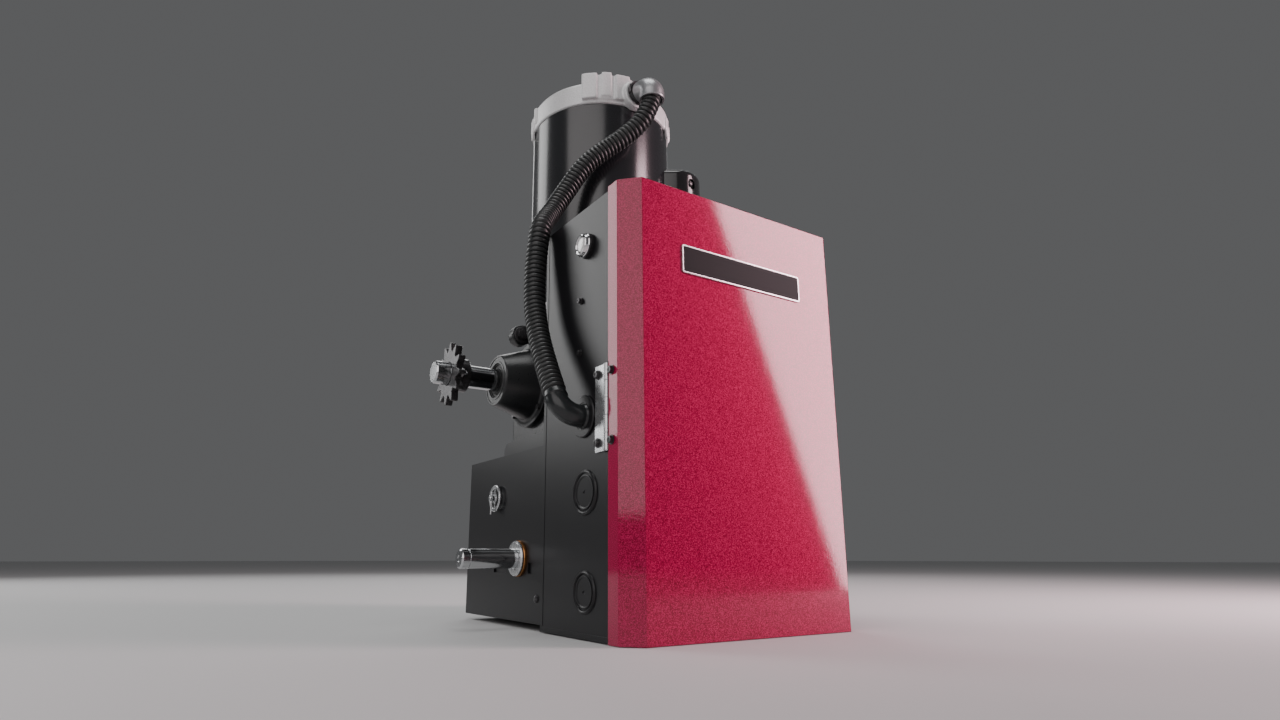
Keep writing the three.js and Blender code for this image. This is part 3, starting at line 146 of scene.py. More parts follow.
hose_radius = 10.8 * mm
hose_root = 8.5 * mm
rib_pitch = 5.1 * mm
hose_sides = 30
hose_route = [
    (-0.1525, -0.2545, 0.038),
    (-0.152, -0.241, 0.059),
    (-0.1512, -0.229, 0.078),
    (-0.1503, -0.2185, 0.096),
    (-0.1494, -0.21, 0.114),
    (-0.1486, -0.204, 0.131),
    (-0.1476, -0.2, 0.15),
    (-0.1462, -0.1973, 0.169),
    (-0.1447, -0.196, 0.187),
    (-0.143, -0.196, 0.205),
    (-0.14, -0.195, 0.2225),
    (-0.1315, -0.187, 0.237),
    (-0.121, -0.1795, 0.251),
    (-0.109, -0.1768, 0.271),
    (-0.098, -0.178, 0.29),
    (-0.088, -0.1815, 0.308),
    (-0.078, -0.1855, 0.322),
    (-0.0675, -0.1895, 0.333),
    (-0.057, -0.194, 0.343),
    (-0.048, -0.199, 0.351),
    (-0.039, -0.205, 0.36),
    (-0.031, -0.211, 0.369),
    (-0.025, -0.216, 0.379),
    (-0.0205, -0.2195, 0.391),
    (-0.0174, -0.221, 0.401),
    (-0.017, -0.221, 0.407),
]


def minus(a, b):
    return [x - y for x, y in zip(a, b)]


def length_of(v):
    return math.sqrt(sum(x * x for x in v))


def unit(v):
    size = length_of(v)
    return [x / size for x in v]


def cross(a, b):
    return [a[1] * b[2] - a[2] * b[1], a[2] * b[0] - a[0] * b[2], a[0] * b[1] - a[1] * b[0]]


def dot(a, b):
    return sum(x * y for x, y in zip(a, b))


def spline(points, per_span=12):
    """Points close together on the smooth curve through the given ones, its ends run straight on."""
    first = [2 * a - b for a, b in zip(points[0], points[1])]
    last = [2 * a - b for a, b in zip(points[-1], points[-2])]
    route = [first, *[list(p) for p in points], last]
    out = []
    for i in range(1, len(route) - 2):
        p0, p1, p2, p3 = route[i - 1 : i + 3]
        t0 = 0.0
        t1 = t0 + length_of(minus(p1, p0)) ** 0.5
        t2 = t1 + length_of(minus(p2, p1)) ** 0.5
        t3 = t2 + length_of(minus(p3, p2)) ** 0.5
        for k in range(per_span):
            t = t1 + (t2 - t1) * k / per_span

            def mixed(a, b, ta, tb):
                return [((tb - t) * x + (t - ta) * y) / (tb - ta) for x, y in zip(a, b)]

            a1, a2, a3 = mixed(p0, p1, t0, t1), mixed(p1, p2, t1, t2), mixed(p2, p3, t2, t3)
            b1, b2 = mixed(a1, a2, t0, t2), mixed(a2, a3, t1, t3)
            out.append(mixed(b1, b2, t1, t2))
    out.append(list(points[-1]))
    return out


def sweep(name, centres, radii, sides, closed_ends=True):
    """A round tube through the centres with its own radius at each, its rings kept from twisting."""
    tangents = []
    for i in range(len(centres)):
        a = centres[max(0, i - 1)]
        b = centres[min(len(centres) - 1, i + 1)]
        tangents.append(unit(minus(b, a)))
    side = unit(cross(tangents[0], [0.3, 1, 0.2]))
    points = []
    for centre, tangent, radius in zip(centres, tangents, radii):
        along = dot(side, tangent)
        side = unit([s - along * t for s, t in zip(side, tangent)])
        up = cross(tangent, side)
        for k in range(sides):
            angle = 2 * math.pi * k / sides
            c, s = math.cos(angle) * radius, math.sin(angle) * radius
            points.append([p + c * u + s * w for p, u, w in zip(centre, side, up)])
    faces = []
    for i in range(len(centres) - 1):
        for k in range(sides):
            a, b = i * sides + k, i * sides + (k + 1) % sides
            faces.append((a, b, b + sides, a + sides))
    if closed_ends:
        faces.append(tuple(reversed(range(sides))))
        faces.append(tuple(range((len(centres) - 1) * sides, len(centres) * sides)))
    mesh = bpy.data.meshes.new(name)
    mesh.from_pydata(points, [], faces)
    piece = bpy.data.objects.new(name, mesh)
    scene.collection.objects.link(piece)
    return piece


def resample(centres, step):
    """The same line in equal steps, and its length."""
    lengths = [0.0]
    for a, b in zip(centres, centres[1:]):
        lengths.append(lengths[-1] + length_of(minus(b, a)))
    total = lengths[-1]
    count = max(2, round(total / step))
    out = []
    i = 0
    for k in range(count + 1):
        want = total * k / count
        while i < len(lengths) - 2 and lengths[i + 1] < want:
            i += 1
        share = (want - lengths[i]) / (lengths[i + 1] - lengths[i])
        out.append([a + (b - a) * share for a, b in zip(centres[i], centres[i + 1])])
    return out, total


def shade(piece, angle=40):
    """Smooth shading that keeps edges sharper than the angle."""
    rest()
    piece.select_set(True)
    bpy.context.view_layer.objects.active = piece
    bpy.ops.object.shade_smooth_by_angle(angle=math.radians(angle))
    piece.select_set(False)


def put(piece, body, slot, *nodes):
    """The piece moves with a body and stands for these CAD nodes; the slot is not used."""
    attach(piece, body)
    if nodes:
        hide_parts(*nodes)
    return piece


def finish(name, colour, roughness, metal=0.0, mottle=0.12, mottle_size=30 * mm, spread=0.06,
           grain=0.0, grain_size=1 * mm, coat=0.0, stretch=None, shine=0.5):
    """A painted, plated or moulded surface: colour and gloss drift a little over it, and a fine
    grain stands up from it. Stretch draws the grain out along an axis, as grinding does. Shine is
    how strongly the skin mirrors what is round it."""
    made = bpy.data.materials.new(name)
    made.use_nodes = True
    nodes, links = made.node_tree.nodes, made.node_tree.links
    shader = nodes["Principled BSDF"]
    shader.inputs["Metallic"].default_value = metal
    shader.inputs["Specular IOR Level"].default_value = shine
    shader.inputs["Coat Weight"].default_value = coat
    shader.inputs["Coat Roughness"].default_value = 0.12
    place = nodes.new("ShaderNodeTexCoord")
    clouds = nodes.new("ShaderNodeTexNoise")
    clouds.inputs["Scale"].default_value = 1 / mottle_size
    clouds.inputs["Detail"].default_value = 4
    links.new(place.outputs["Object"], clouds.inputs["Vector"])
    tint = nodes.new("ShaderNodeMix")
    tint.data_type = "RGBA"
    tint.inputs["A"].default_value = (*[c * (1 - mottle) for c in colour], 1)
    tint.inputs["B"].default_value = (*[min(1, c * (1 + mottle)) for c in colour], 1)
    links.new(clouds.outputs["Fac"], tint.inputs["Factor"])
    links.new(tint.outputs["Result"], shader.inputs["Base Color"])
    fine = nodes.new("ShaderNodeTexNoise")
    fine.inputs["Scale"].default_value = 1 / grain_size
    fine.inputs["Detail"].default_value = 3
    spacing = nodes.new("ShaderNodeMapping")
    spacing.inputs["Scale"].default_value = stretch or (1, 1, 1)
    links.new(place.outputs["Object"], spacing.inputs["Vector"])
    links.new(spacing.outputs["Vector"], fine.inputs["Vector"])
    gloss = nodes.new("ShaderNodeMapRange")
    gloss.inputs["To Min"].default_value = max(0.02, roughness - spread)
    gloss.inputs["To Max"].default_value = min(1, roughness + spread)
    links.new(fine.outputs["Fac"], gloss.inputs["Value"])
    links.new(gloss.outputs["Result"], shader.inputs["Roughness"])
    if grain:
        bump = nodes.new("ShaderNodeBump")
        bump.inputs["Strength"].default_value = 1
        bump.inputs["Distance"].default_value = grain
        links.new(fine.outputs["Fac"], bump.inputs["Height"])
        links.new(bump.outputs["Normal"], shader.inputs["Normal"])
    return made


rib_shape = [0.0, 0.08, 0.82, 1.0, 1.0, 1.0, 0.82]
hose_line, hose_length = resample(spline(hose_route), rib_pitch / len(rib_shape))
hose_radii = []
for i in range(len(hose_line)):
    hose_radii.append(hose_root + (hose_radius - hose_root) * rib_shape[i % len(rib_shape)])
conduit = sweep("ribbed_hose", hose_line, hose_radii, hose_sides)
shade(conduit, 42)
hose_plastic = finish("hose_plastic", (0.026, 0.028, 0.028), 0.3, mottle=0.25, grain=0.02 * mm,
                      grain_size=0.8 * mm)
conduit.data.materials.append(hose_plastic)
put(conduit, "opener", "black_plastic", "conduit")

# ---------------------------------------------------------------------------------------------
# Elbow and its flange, where the hose meets the control box. Smooth moulded plastic: a bead at the
# flange, a quarter bend upwards and a sleeve that the hose slips over.
# ---------------------------------------------------------------------------------------------

weld = 0.003 * mm


def corners(node):
    """A node's lowest and highest corners, in millimetres."""
    low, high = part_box(node)
    return [v / mm for v in low], [v / mm for v in high]


def middle(node):
    low, high = corners(node)
    return [(a + b) / 2 for a, b in zip(low, high)]


def point(place):
    """A place in millimetres as metres."""
    return [v * mm for v in place]


def apply(piece, change):
    rest()
    piece.select_set(True)
    bpy.context.view_layer.objects.active = piece
    bpy.ops.object.modifier_apply(modifier=change.name)
    piece.select_set(False)


def edit(piece, select="SELECT"):
    """Edit mode on one piece, with all of it selected or none."""
    rest()
    piece.select_set(True)
    bpy.context.view_layer.objects.active = piece
    bpy.ops.object.mode_set(mode="EDIT")
    bpy.ops.mesh.select_all(action=select)


def push(shift):
    bpy.ops.mesh.extrude_region_move(TRANSFORM_OT_translate={"value": point(shift)})


def swell(share):
    bpy.ops.transform.resize(value=(share, share, share))


def soften(piece, width, segments=2, angle=32):
    """Rounds the edges sharper than the angle by a width in millimetres."""
    change = piece.modifiers.new("edges", "BEVEL")
    change.width = width * mm
    change.segments = segments
    change.limit_method = "ANGLE"
    change.angle_limit = math.radians(angle)
    apply(piece, change)
    shade(piece, 38)
    return piece


def drawn(name, places):
    """A chain of edges through places in millimetres, left selected in edit mode."""
    rest()
    bpy.ops.mesh.primitive_plane_add(size=mm, location=point(places[0]))
    piece = settle(name)
    edit(piece)
    bpy.ops.mesh.merge(type="CENTER")
    for a, b in zip(places, places[1:]):
        bpy.ops.mesh.extrude_vertices_move(TRANSFORM_OT_translate={"value": point(minus(b, a))})
    bpy.ops.mesh.select_all(action="SELECT")
    return piece


def turned(name, axis, at, profile, steps=72):
    """A shape turned round an axis from a profile of radius and place along the axis."""
    along = "xyz".index(axis)
    out = 0 if axis == "z" else 2
    places = []
    for radius, place in profile:
        spot = list(at)
        spot[along] = place
        spot[out] += radius
        places.append(spot)
    piece = drawn(name, places)
    bpy.ops.mesh.spin(steps=steps, angle=2 * math.pi, center=point(at),
                      axis=[float(axis == a) for a in "xyz"])
    bpy.ops.mesh.select_all(action="SELECT")
    bpy.ops.mesh.remove_doubles(threshold=weld)
    bpy.ops.mesh.normals_make_consistent(inside=False)
    bpy.ops.object.mode_set(mode="OBJECT")
    return piece


def plate(name, axis, outline, start, depth):
    """An outline drawn across an axis and extruded along it."""
    along = "xyz".index(axis)
    across = [i for i in range(3) if i != along]
    places = []
    for u, v in [*outline, outline[0]]:
        spot = [start] * 3
        spot[across[0]], spot[across[1]] = u, v
        places.append(spot)
    piece = drawn(name, places)
    bpy.ops.mesh.remove_doubles(threshold=weld)
    bpy.ops.mesh.edge_face_add()
    push([depth * (i == along) for i in range(3)])
    bpy.ops.mesh.select_all(action="SELECT")
    bpy.ops.mesh.normals_make_consistent(inside=False)
    bpy.ops.object.mode_set(mode="OBJECT")
    return piece


def brick(name, low, high):
    """A block between two corners."""
    rest()
    bpy.ops.mesh.primitive_cube_add(size=1, location=point([(a + b) / 2 for a, b in zip(low, high)]))
    bpy.context.object.scale = point([b - a for a, b in zip(low, high)])
    return settle(name)


def rod(name, axis, start, length, radius, end_radius=None, sides=64):
    """A round bar or cone from the centre of its start."""
    rest()
    spot = list(start)
    spot["xyz".index(axis)] += length / 2
    turn = {"x": (0, math.pi / 2, 0), "y": (-math.pi / 2, 0, 0), "z": (0, 0, 0)}[axis]
    far = radius if end_radius is None else end_radius
    bpy.ops.mesh.primitive_cone_add(vertices=sides, radius1=radius * mm, radius2=far * mm,
                                    depth=length * mm, location=point(spot), rotation=turn)
    return settle(name)


def cut(piece, *tools):
    """Takes each tool's shape out of the piece, and the tool away."""
    for tool in tools:
        change = piece.modifiers.new("cut", "BOOLEAN")
        change.operation = "DIFFERENCE"
        change.object = tool
        apply(piece, change)
        bpy.data.objects.remove(tool)
    return piece


def joined(piece, *others):
    """The other shapes become part of the piece."""
    rest()
    for other in (piece, *others):
        other.select_set(True)
    bpy.context.view_layer.objects.active = piece
    bpy.ops.object.join()
    rest()
    return piece


def copied(piece, name, shift=(0, 0, 0), spin=0, axis="z", centre=(0, 0, 0)):
    """A copy with its own mesh, turned by an angle in degrees round a centre and then moved."""
    twin = piece.copy()
    twin.data = piece.data.copy()
    twin.name = name
    twin.data.name = name
    scene.collection.objects.link(twin)
    about = Matrix.Translation(point(centre))
    turn = Matrix.Rotation(math.radians(spin), 4, axis.upper())
    twin.data.transform(Matrix.Translation(point(shift)) @ about @ turn @ about.inverted())
    return twin


def arc(u, v, radius, start, end, steps=8):
    """Places on an arc about a centre, angles in degrees."""
    places = []
    for i in range(steps + 1):
        angle = math.radians(start + (end - start) * i / steps)
        places.append((u + radius * math.cos(angle), v + radius * math.sin(angle)))
    return places


def rounded(u0, u1, v0, v1, radius, steps=6):
    """The outline of a rectangle with rounded corners."""
    r = radius
    return [*arc(u1 - r, v0 + r, r, -90, 0, steps), *arc(u1 - r, v1 - r, r, 0, 90, steps),
            *arc(u0 + r, v1 - r, r, 90, 180, steps), *arc(u0 + r, v0 + r, r, 180, 270, steps)]


def dress(piece, paint, body, slot, *nodes):
    """One finish all over, wide faces shaded flat, then the piece is put in its place."""
    flat = piece.modifiers.new("flat_faces", "WEIGHTED_NORMAL")
    flat.weight = 100
    flat.keep_sharp = True
    apply(piece, flat)
    piece.data.materials.clear()
    piece.data.materials.append(paint)
    return put(piece, body, slot, *nodes)


flange_low, flange_high = corners("elbow_flange")
elbow_y, elbow_z = middle("elbow_flange")[1:]
elbow_radius = 10
elbow_bend = 18
hose_start = [v / mm for v in hose_route[0]]
rise = unit([0, hose_start[1] - elbow_y, hose_start[2] - elbow_z])
rise_length = length_of(minus(hose_start, [hose_start[0], elbow_y, elbow_z]))
rest()
bpy.ops.mesh.primitive_circle_add(vertices=40, radius=(elbow_radius + 1.3) * mm, fill_type="NGON",
                                  location=point((flange_low[0] + 0.6, elbow_y, elbow_z)),
                                  rotation=(0, -math.pi / 2, 0))
elbow = settle("conduit_elbow_tube")
edit(elbow)
push((-2, 0, 0))
swell(elbow_radius / (elbow_radius + 1.3))
push((hose_start[0] + elbow_bend - flange_low[0] + 1.4, 0, 0))
bend_centre = [hose_start[0] + elbow_bend, elbow_y + rise[1] * elbow_bend, elbow_z + rise[2] * elbow_bend]
bpy.ops.mesh.spin(steps=18, angle=-math.pi / 2, center=point(bend_centre), axis=(0, rise[2], -rise[1]))
push([0.4 * r for r in rise])
swell(1.09)
push([(rise_length - elbow_bend - 1.6) * r for r in rise])
swell(0.94)
push([0.8 * r for r in rise])
bpy.ops.mesh.select_all(action="SELECT")
bpy.ops.mesh.remove_doubles(threshold=weld)
bpy.ops.mesh.normals_make_consistent(inside=False)
rest()
nipple = rod("nipple", "x", (flange_low[0], elbow_y, elbow_z), 16, 8.6, sides=40)
joined(elbow, nipple)
soften(elbow, 0.35)
fitting_plastic = finish("fitting_plastic", (0.018, 0.021, 0.022), 0.24, mottle=0.2, grain=0.012 * mm,
                         grain_size=1.6 * mm)
dress(elbow, fitting_plastic, "opener", "black_plastic", "conduit_elbow")

flange_radius = (flange_high[2] - flange_low[2]) / 2
flange = turned("elbow_wall_flange", "x", (0, elbow_y, elbow_z), [
    (9, flange_high[0]), (flange_radius, flange_high[0]), (flange_radius, flange_low[0] + 0.9),
    (flange_radius - 0.9, flange_low[0]), (12.4, flange_low[0]), (11.6, flange_low[0] + 0.5),
    (9, flange_low[0] + 0.5), (9, flange_high[0])])
shade(flange, 30)
black_paint = finish("black_paint", (0.009, 0.009, 0.0105), 0.34, mottle=0.22, mottle_size=60 * mm,
                     spread=0.05, grain=0.035 * mm, grain_size=0.9 * mm, shine=0.4)
dress(flange, black_paint, "opener", "black_paint", "elbow_flange")

# ---------------------------------------------------------------------------------------------
# Control box. Folded sheet steel, open towards the cover, powder coated black: a lip along its
# foot, four cable and button holes in its left side and a notch for the hinge's barrel.
# ---------------------------------------------------------------------------------------------


def opened(piece, axis, sign, sheet):
    """Takes away the side of a block that faces one way and gives the others a sheet's thickness."""
    edit(piece, "DESELECT")
    rest()
    for face in piece.data.polygons:
        face.select = face.normal["xyz".index(axis)] * sign > 0.9
    bpy.context.view_layer.objects.active = piece
    bpy.ops.object.mode_set(mode="EDIT")
    bpy.ops.mesh.delete(type="FACE")
    bpy.ops.object.mode_set(mode="OBJECT")
    change = piece.modifiers.new("sheet", "SOLIDIFY")
    change.thickness = sheet * mm
    change.offset = -1
    change.use_even_offset = True
    apply(piece, change)
    return piece


box_low, box_high = corners("electrical_box")
box_sheet = 1.8
box_left = box_low[0]
upper_plug = middle("knockout_plug_upper")
lower_plug = middle("knockout_plug_lower")
button = middle("button_cap")
control_box = opened(brick("control_box", box_low, box_high), "y", -1, box_sheet)
hole_start = box_left - 2
upper_hole, lower_hole, button_hole, elbow_hole = 17.2, 15.6, 9.3, 8.9
hinge_low, hinge_high = corners("hinge_pin")
cut(control_box,
    rod("hole", "x", (hole_start, *upper_plug[1:]), 6, upper_hole),
    rod("hole", "x", (hole_start, *lower_plug[1:]), 6, lower_hole),
    rod("hole", "x", (hole_start, *button[1:]), 6, button_hole),
    rod("hole", "x", (hole_start, elbow_y, elbow_z), 6, elbow_hole),
    brick("notch", (box_left - 1, box_low[1] - 1, hinge_low[2] - 0.5),
          (box_left + 3.9, hinge_high[1] + 1.6, hinge_high[2] + 0.5)))
box_lip = brick("box_lip", (box_left - 0.5, box_low[1], box_low[2]),
                (box_left + 0.4, box_high[1], box_low[2] + 4.6))
back_lip = brick("back_lip", (box_left - 0.35, box_high[1] - 5, box_low[2] + 5.2),
                 (box_left + 0.4, box_high[1], box_high[2]))
joined(soften(control_box, 0.7, 3), soften(box_lip, 0.25), soften(back_lip, 0.2))
dress(control_box, black_paint, "opener", "black_paint", "electrical_box")

# ---------------------------------------------------------------------------------------------
# Two knockout plugs. Pressed steel, painted with the box: a rolled rim round a dished disc with a
# slotted dimple. Each snaps into its cable hole.
# ---------------------------------------------------------------------------------------------

for name, centre in (("upper", upper_plug), ("lower", lower_plug)):
    plug_low, plug_high = corners("knockout_plug_" + name)
    r = (plug_high[2] - plug_low[2]) / 2
    face = box_left
    disc = turned("knockout_disc_" + name, "x", (0, *centre[1:]), [
        (0, face - 0.35), (1.1, face - 0.3), (1.7, face - 0.75), (r * 0.64, face - 0.75),
        (r * 0.68, face - 1.35), (r * 0.72, face - 1.5), (r * 0.755, face - 1.3), (r * 0.77, face - 0.5),
        (r * 0.82, face - 0.45), (r * 0.85, face - 1.5), (r * 0.9, face - 1.95), (r * 0.95, face - 1.6),
        (r * 0.985, face - 0.8), (r, face - 0.15), (r * 0.86, face - 0.1), (r * 0.86, face + 2.4),
        (0, face + 2.4)], 96)
    cut(disc, brick("slot", (face - 1.6, centre[1] - 2.4, centre[2] - 0.6),
                    (face - 0.1, centre[1] + 2.4, centre[2] + 0.6)))
    shade(disc, 32)
    dress(disc, black_paint, "opener", "black_paint", "knockout_plug_" + name)

# ---------------------------------------------------------------------------------------------
# Screws: hexagon heads with a washer face, black oxide steel. Two go through the box's left side,
# four hold the hinge and one locks the cover at its right.
# ---------------------------------------------------------------------------------------------

black_steel = finish("black_steel", (0.085, 0.083, 0.086), 0.28, metal=0.75, mottle=0.35,
                     mottle_size=5 * mm, grain=0.02 * mm, grain_size=0.5 * mm)


def hex_screw(name, node, side, radius, shank):
    """A hexagon head on a thin washer face; side is the way along X that the head faces."""
    low, high = corners(node)
    _, y, z = middle(node)
    seat = high[0] - shank + 0.5 if side < 0 else low[0] + shank - 0.5
    outer = low[0] if side < 0 else high[0]
    depth = abs(seat - outer)
    near = min(seat, outer)
    head = rod(name, "x", (near, y, z), depth, radius, sides=6)
    soften(head, 0.45, 2)
    face = seat - 0.8 if side < 0 else seat
    skirt = soften(rod("skirt", "x", (face, y, z), 0.8, radius + 0.7, sides=40), 0.2)
    stem_start = seat if side < 0 else seat - shank + 0.5
    stem = rod("stem", "x", (stem_start, y, z), shank - 0.5, radius / 2.4, sides=20)
    dimple_at = outer - 0.1 if side < 0 else outer - 0.5
    cut(head, rod("dimple", "x", (dimple_at, y, z), 0.6, radius * 0.45, sides=24))
    return joined(head, skirt, stem)


for name, node, body, side, radius, shank in (
    ("rail_screw_upper", "side_screw_upper", "opener", -1, 2.7, 9),
    ("rail_screw_lower", "side_screw_lower", "opener", -1, 2.7, 9),
    ("leaf_screw_upper", "hinge_screw_box_upper", "opener", -1, 3.4, 9),
    ("leaf_screw_lower", "hinge_screw_box_lower", "opener", -1, 3.4, 9),
    ("cover_leaf_screw_upper", "hinge_screw_cover_upper", "cover", -1, 3.4, 8),
    ("cover_leaf_screw_lower", "hinge_screw_cover_lower", "cover", -1, 3.4, 8),
    ("cover_lock_screw", "cover_screw", "cover", 1, 3.4, 4),
):
    dress(hex_screw(name, node, side, radius, shank), black_steel, body, "black_steel", node)

# ---------------------------------------------------------------------------------------------
# Push button on the box's left side. A stepped chrome bezel with a bright cap that travels 3 mm,
# held by a dark threaded ring behind it.
# ---------------------------------------------------------------------------------------------

nut_low, nut_high = corners("button_nut")
bezel_low, bezel_high = corners("button_bezel")
cap_low, cap_high = corners("button_cap")
nut_radius = (nut_high[2] - nut_low[2]) / 2
button_at = (0, *button[1:])
steps_in = nut_high[0] - nut_low[0]
nut_profile = [(9.2, nut_high[0]), (nut_radius, nut_high[0])]
for i in range(3):
    ridge = nut_high[0] - steps_in * (i + 0.5) / 3
    nut_profile += [(nut_radius, ridge + 0.28), (nut_radius - 0.6, ridge), (nut_radius, ridge - 0.28)]
nut_profile += [(nut_radius - 0.4, nut_low[0]), (9.2, nut_low[0]), (9.2, nut_high[0])]
button_ring = turned("button_lock_ring", "x", button_at, nut_profile)
shade(button_ring, 30)
dress(button_ring, black_steel, "opener", "black_steel", "button_nut")

chrome = finish("chrome", (0.78, 0.78, 0.79), 0.09, metal=1, mottle=0.05, spread=0.03)
bezel_face = nut_low[0] - 0.3
bezel_front = bezel_low[0]
bezel = turned("button_chrome_bezel", "x", button_at, [
    (9.1, bezel_high[0]), (9.1, bezel_face), (11.2, bezel_face), (11.3, bezel_face - 1.0),
    (10.7, bezel_face - 1.7), (10.5, bezel_face - 2.7), (9.9, bezel_front + 0.5), (9.2, bezel_front),
    (8.5, bezel_front + 0.25), (7.75, bezel_front + 1.3), (7.75, bezel_high[0]), (9.1, bezel_high[0])])
shade(bezel, 28)
dress(bezel, chrome, "opener", "zinc", "button_bezel")

cap = turned("button_push_cap", "x", button_at, [
    (0, cap_low[0] - 0.1), (4.2, cap_low[0]), (6.1, cap_low[0] + 0.35), (7.0, cap_low[0] + 1.0),
    (7.4, cap_low[0] + 2.0), (7.4, cap_high[0]), (0, cap_high[0])])
shade(cap, 30)
bright_cap = finish("bright_cap", (0.86, 0.86, 0.85), 0.22, metal=0.25, mottle=0.04, spread=0.05)
dress(cap, bright_cap, "button", "zinc", "button_cap")

# ---------------------------------------------------------------------------------------------
# Hinge between box and cover. Zinc plated steel: two leaves whose knuckles share one pin, so that
# the cover swings out to the left.
# ---------------------------------------------------------------------------------------------

zinc = finish("zinc_plate", (0.66, 0.67, 0.68), 0.27, metal=0.92, mottle=0.1, mottle_size=14 * mm,
              spread=0.09, grain=0.02 * mm, grain_size=2 * mm, stretch=(1, 1, 0.2))
pin_at = middle("hinge_pin")
knuckle_count = 5
pin_end = 0.5
hinge_bottom = hinge_low[2] + pin_end
knuckle = (hinge_high[2] - hinge_low[2] - 2 * pin_end) / knuckle_count
barrel = 2.9
pin_radius, pin_bore = 1.6, 1.75


def leaf(name, first, low, high):
    """A flat leaf with every second knuckle of the barrel."""
    strip = brick(name, low, high)
    for i in range(1 - first, knuckle_count, 2):
        z = hinge_bottom + i * knuckle
        room = rod("room", "z", (pin_at[0], pin_at[1], z - 0.2), knuckle + 0.4, barrel + 0.35, sides=32)
        cut(strip, room)
    soften(strip, 0.3)
    curls = []
    for i in range(first, knuckle_count, 2):
        z = hinge_bottom + i * knuckle + 0.2
        curl = rod("curl", "z", (pin_at[0], pin_at[1], z), knuckle - 0.4, barrel, sides=32)
        bore = rod("bore", "z", (pin_at[0], pin_at[1], z - 1), knuckle + 2, pin_bore, sides=24)
        curls.append(soften(cut(curl, bore), 0.2))
    return joined(strip, *curls)


leaf_back = corners("hinge_leaf_box")[1][1]
box_leaf = leaf("hinge_box_leaf", 0, (box_left - 1.6, pin_at[1], hinge_bottom),
                (box_left - 0.3, leaf_back, hinge_bottom + knuckle_count * knuckle))
dress(box_leaf, zinc, "opener", "zinc", "hinge_leaf_box")
cover_leaf_front = corners("hinge_leaf_cover")[0][1]
cover_low, cover_high = corners("front_cover")
cover_sheet = 1.5
cover_leaf = leaf("hinge_cover_leaf", 1,
                  (cover_low[0] + cover_sheet + 0.3, cover_leaf_front, hinge_bottom),
                  (cover_low[0] + cover_sheet + 1.6, pin_at[1], hinge_bottom + knuckle_count * knuckle))
dress(cover_leaf, zinc, "cover", "zinc", "hinge_leaf_cover")
pin = rod("hinge_steel_pin", "z", (pin_at[0], pin_at[1], hinge_low[2]), hinge_high[2] - hinge_low[2],
          pin_radius, sides=24)
soften(pin, 0.4, 3)
ground_steel = finish("ground_steel", (0.60, 0.61, 0.62), 0.14, metal=1, mottle=0.08, mottle_size=20 * mm,
                      spread=0.06, grain=0.006 * mm, grain_size=0.6 * mm, stretch=(0.15, 1, 1))
dress(pin, ground_steel, "opener", "steel", "hinge_pin")

# ---------------------------------------------------------------------------------------------
# Cover. A steel pan with bevelled left and right edges, powder coated in a deep metallic red under
# clear lacquer: fine flakes glitter in it and the lacquer is a little rippled.
# ---------------------------------------------------------------------------------------------


def red_lacquer():
    made = bpy.data.materials.new("red_lacquer")
    made.use_nodes = True
    nodes, links = made.node_tree.nodes, made.node_tree.links
    shader = nodes["Principled BSDF"]
    shader.inputs["Roughness"].default_value = 0.4
    shader.inputs["Metallic"].default_value = 0.14
    shader.inputs["Specular IOR Level"].default_value = 0.0
    shader.inputs["Coat Weight"].default_value = 1.0
    shader.inputs["Coat Roughness"].default_value = 0.06
    place = nodes.new("ShaderNodeTexCoord")
    flakes = nodes.new("ShaderNodeTexNoise")
    flakes.inputs["Scale"].default_value = 1 / (0.75 * mm)
    flakes.inputs["Detail"].default_value = 2
    links.new(place.outputs["Object"], flakes.inputs["Vector"])
    tint = nodes.new("ShaderNodeValToRGB")
    tint.color_ramp.elements[0].position = 0.38
    tint.color_ramp.elements[0].color = (0.22, 0.0018, 0.027, 1)
    tint.color_ramp.elements[1].position = 0.64
    tint.color_ramp.elements[1].color = (0.58, 0.015, 0.11, 1)
    body_tone = tint.color_ramp.elements.new(0.5)
    body_tone.color = (0.37, 0.0035, 0.058, 1)
    links.new(flakes.outputs["Fac"], tint.inputs["Fac"])
    links.new(tint.outputs["Color"], shader.inputs["Base Color"])
    ripple = nodes.new("ShaderNodeTexNoise")
    ripple.inputs["Scale"].default_value = 1 / (2.2 * mm)
    ripple.inputs["Detail"].default_value = 3
    links.new(place.outputs["Object"], ripple.inputs["Vector"])
    bump = nodes.new("ShaderNodeBump")
    bump.inputs["Distance"].default_value = 0.016 * mm
    links.new(ripple.outputs["Fac"], bump.inputs["Height"])
    links.new(bump.outputs["Normal"], shader.inputs["Normal"])
    links.new(bump.outputs["Normal"], shader.inputs["Coat Normal"])
    return made


cover_bevel = 15.7
cover_outline = [(cover_low[0], cover_high[1]), (cover_low[0], cover_low[1] + cover_bevel),
                 (cover_low[0] + cover_bevel, cover_low[1]), (cover_high[0] - cover_bevel, cover_low[1]),
                 (cover_high[0], cover_low[1] + cover_bevel), (cover_high[0], cover_high[1])]
cover = plate("red_cover", "z", cover_outline, cover_low[2], cover_high[2] - cover_low[2])
opened(cover, "y", 1, cover_sheet)
cut(cover, brick("notch", (cover_low[0] - 1, pin_at[1] - 3.2, hinge_bottom - 1),
                 (cover_low[0] + 6, cover_high[1] + 1, hinge_bottom + knuckle_count * knuckle + 1)))
soften(cover, 1.1, 3, 25)
dress(cover, red_lacquer(), "cover", "red_paint", "front_cover")

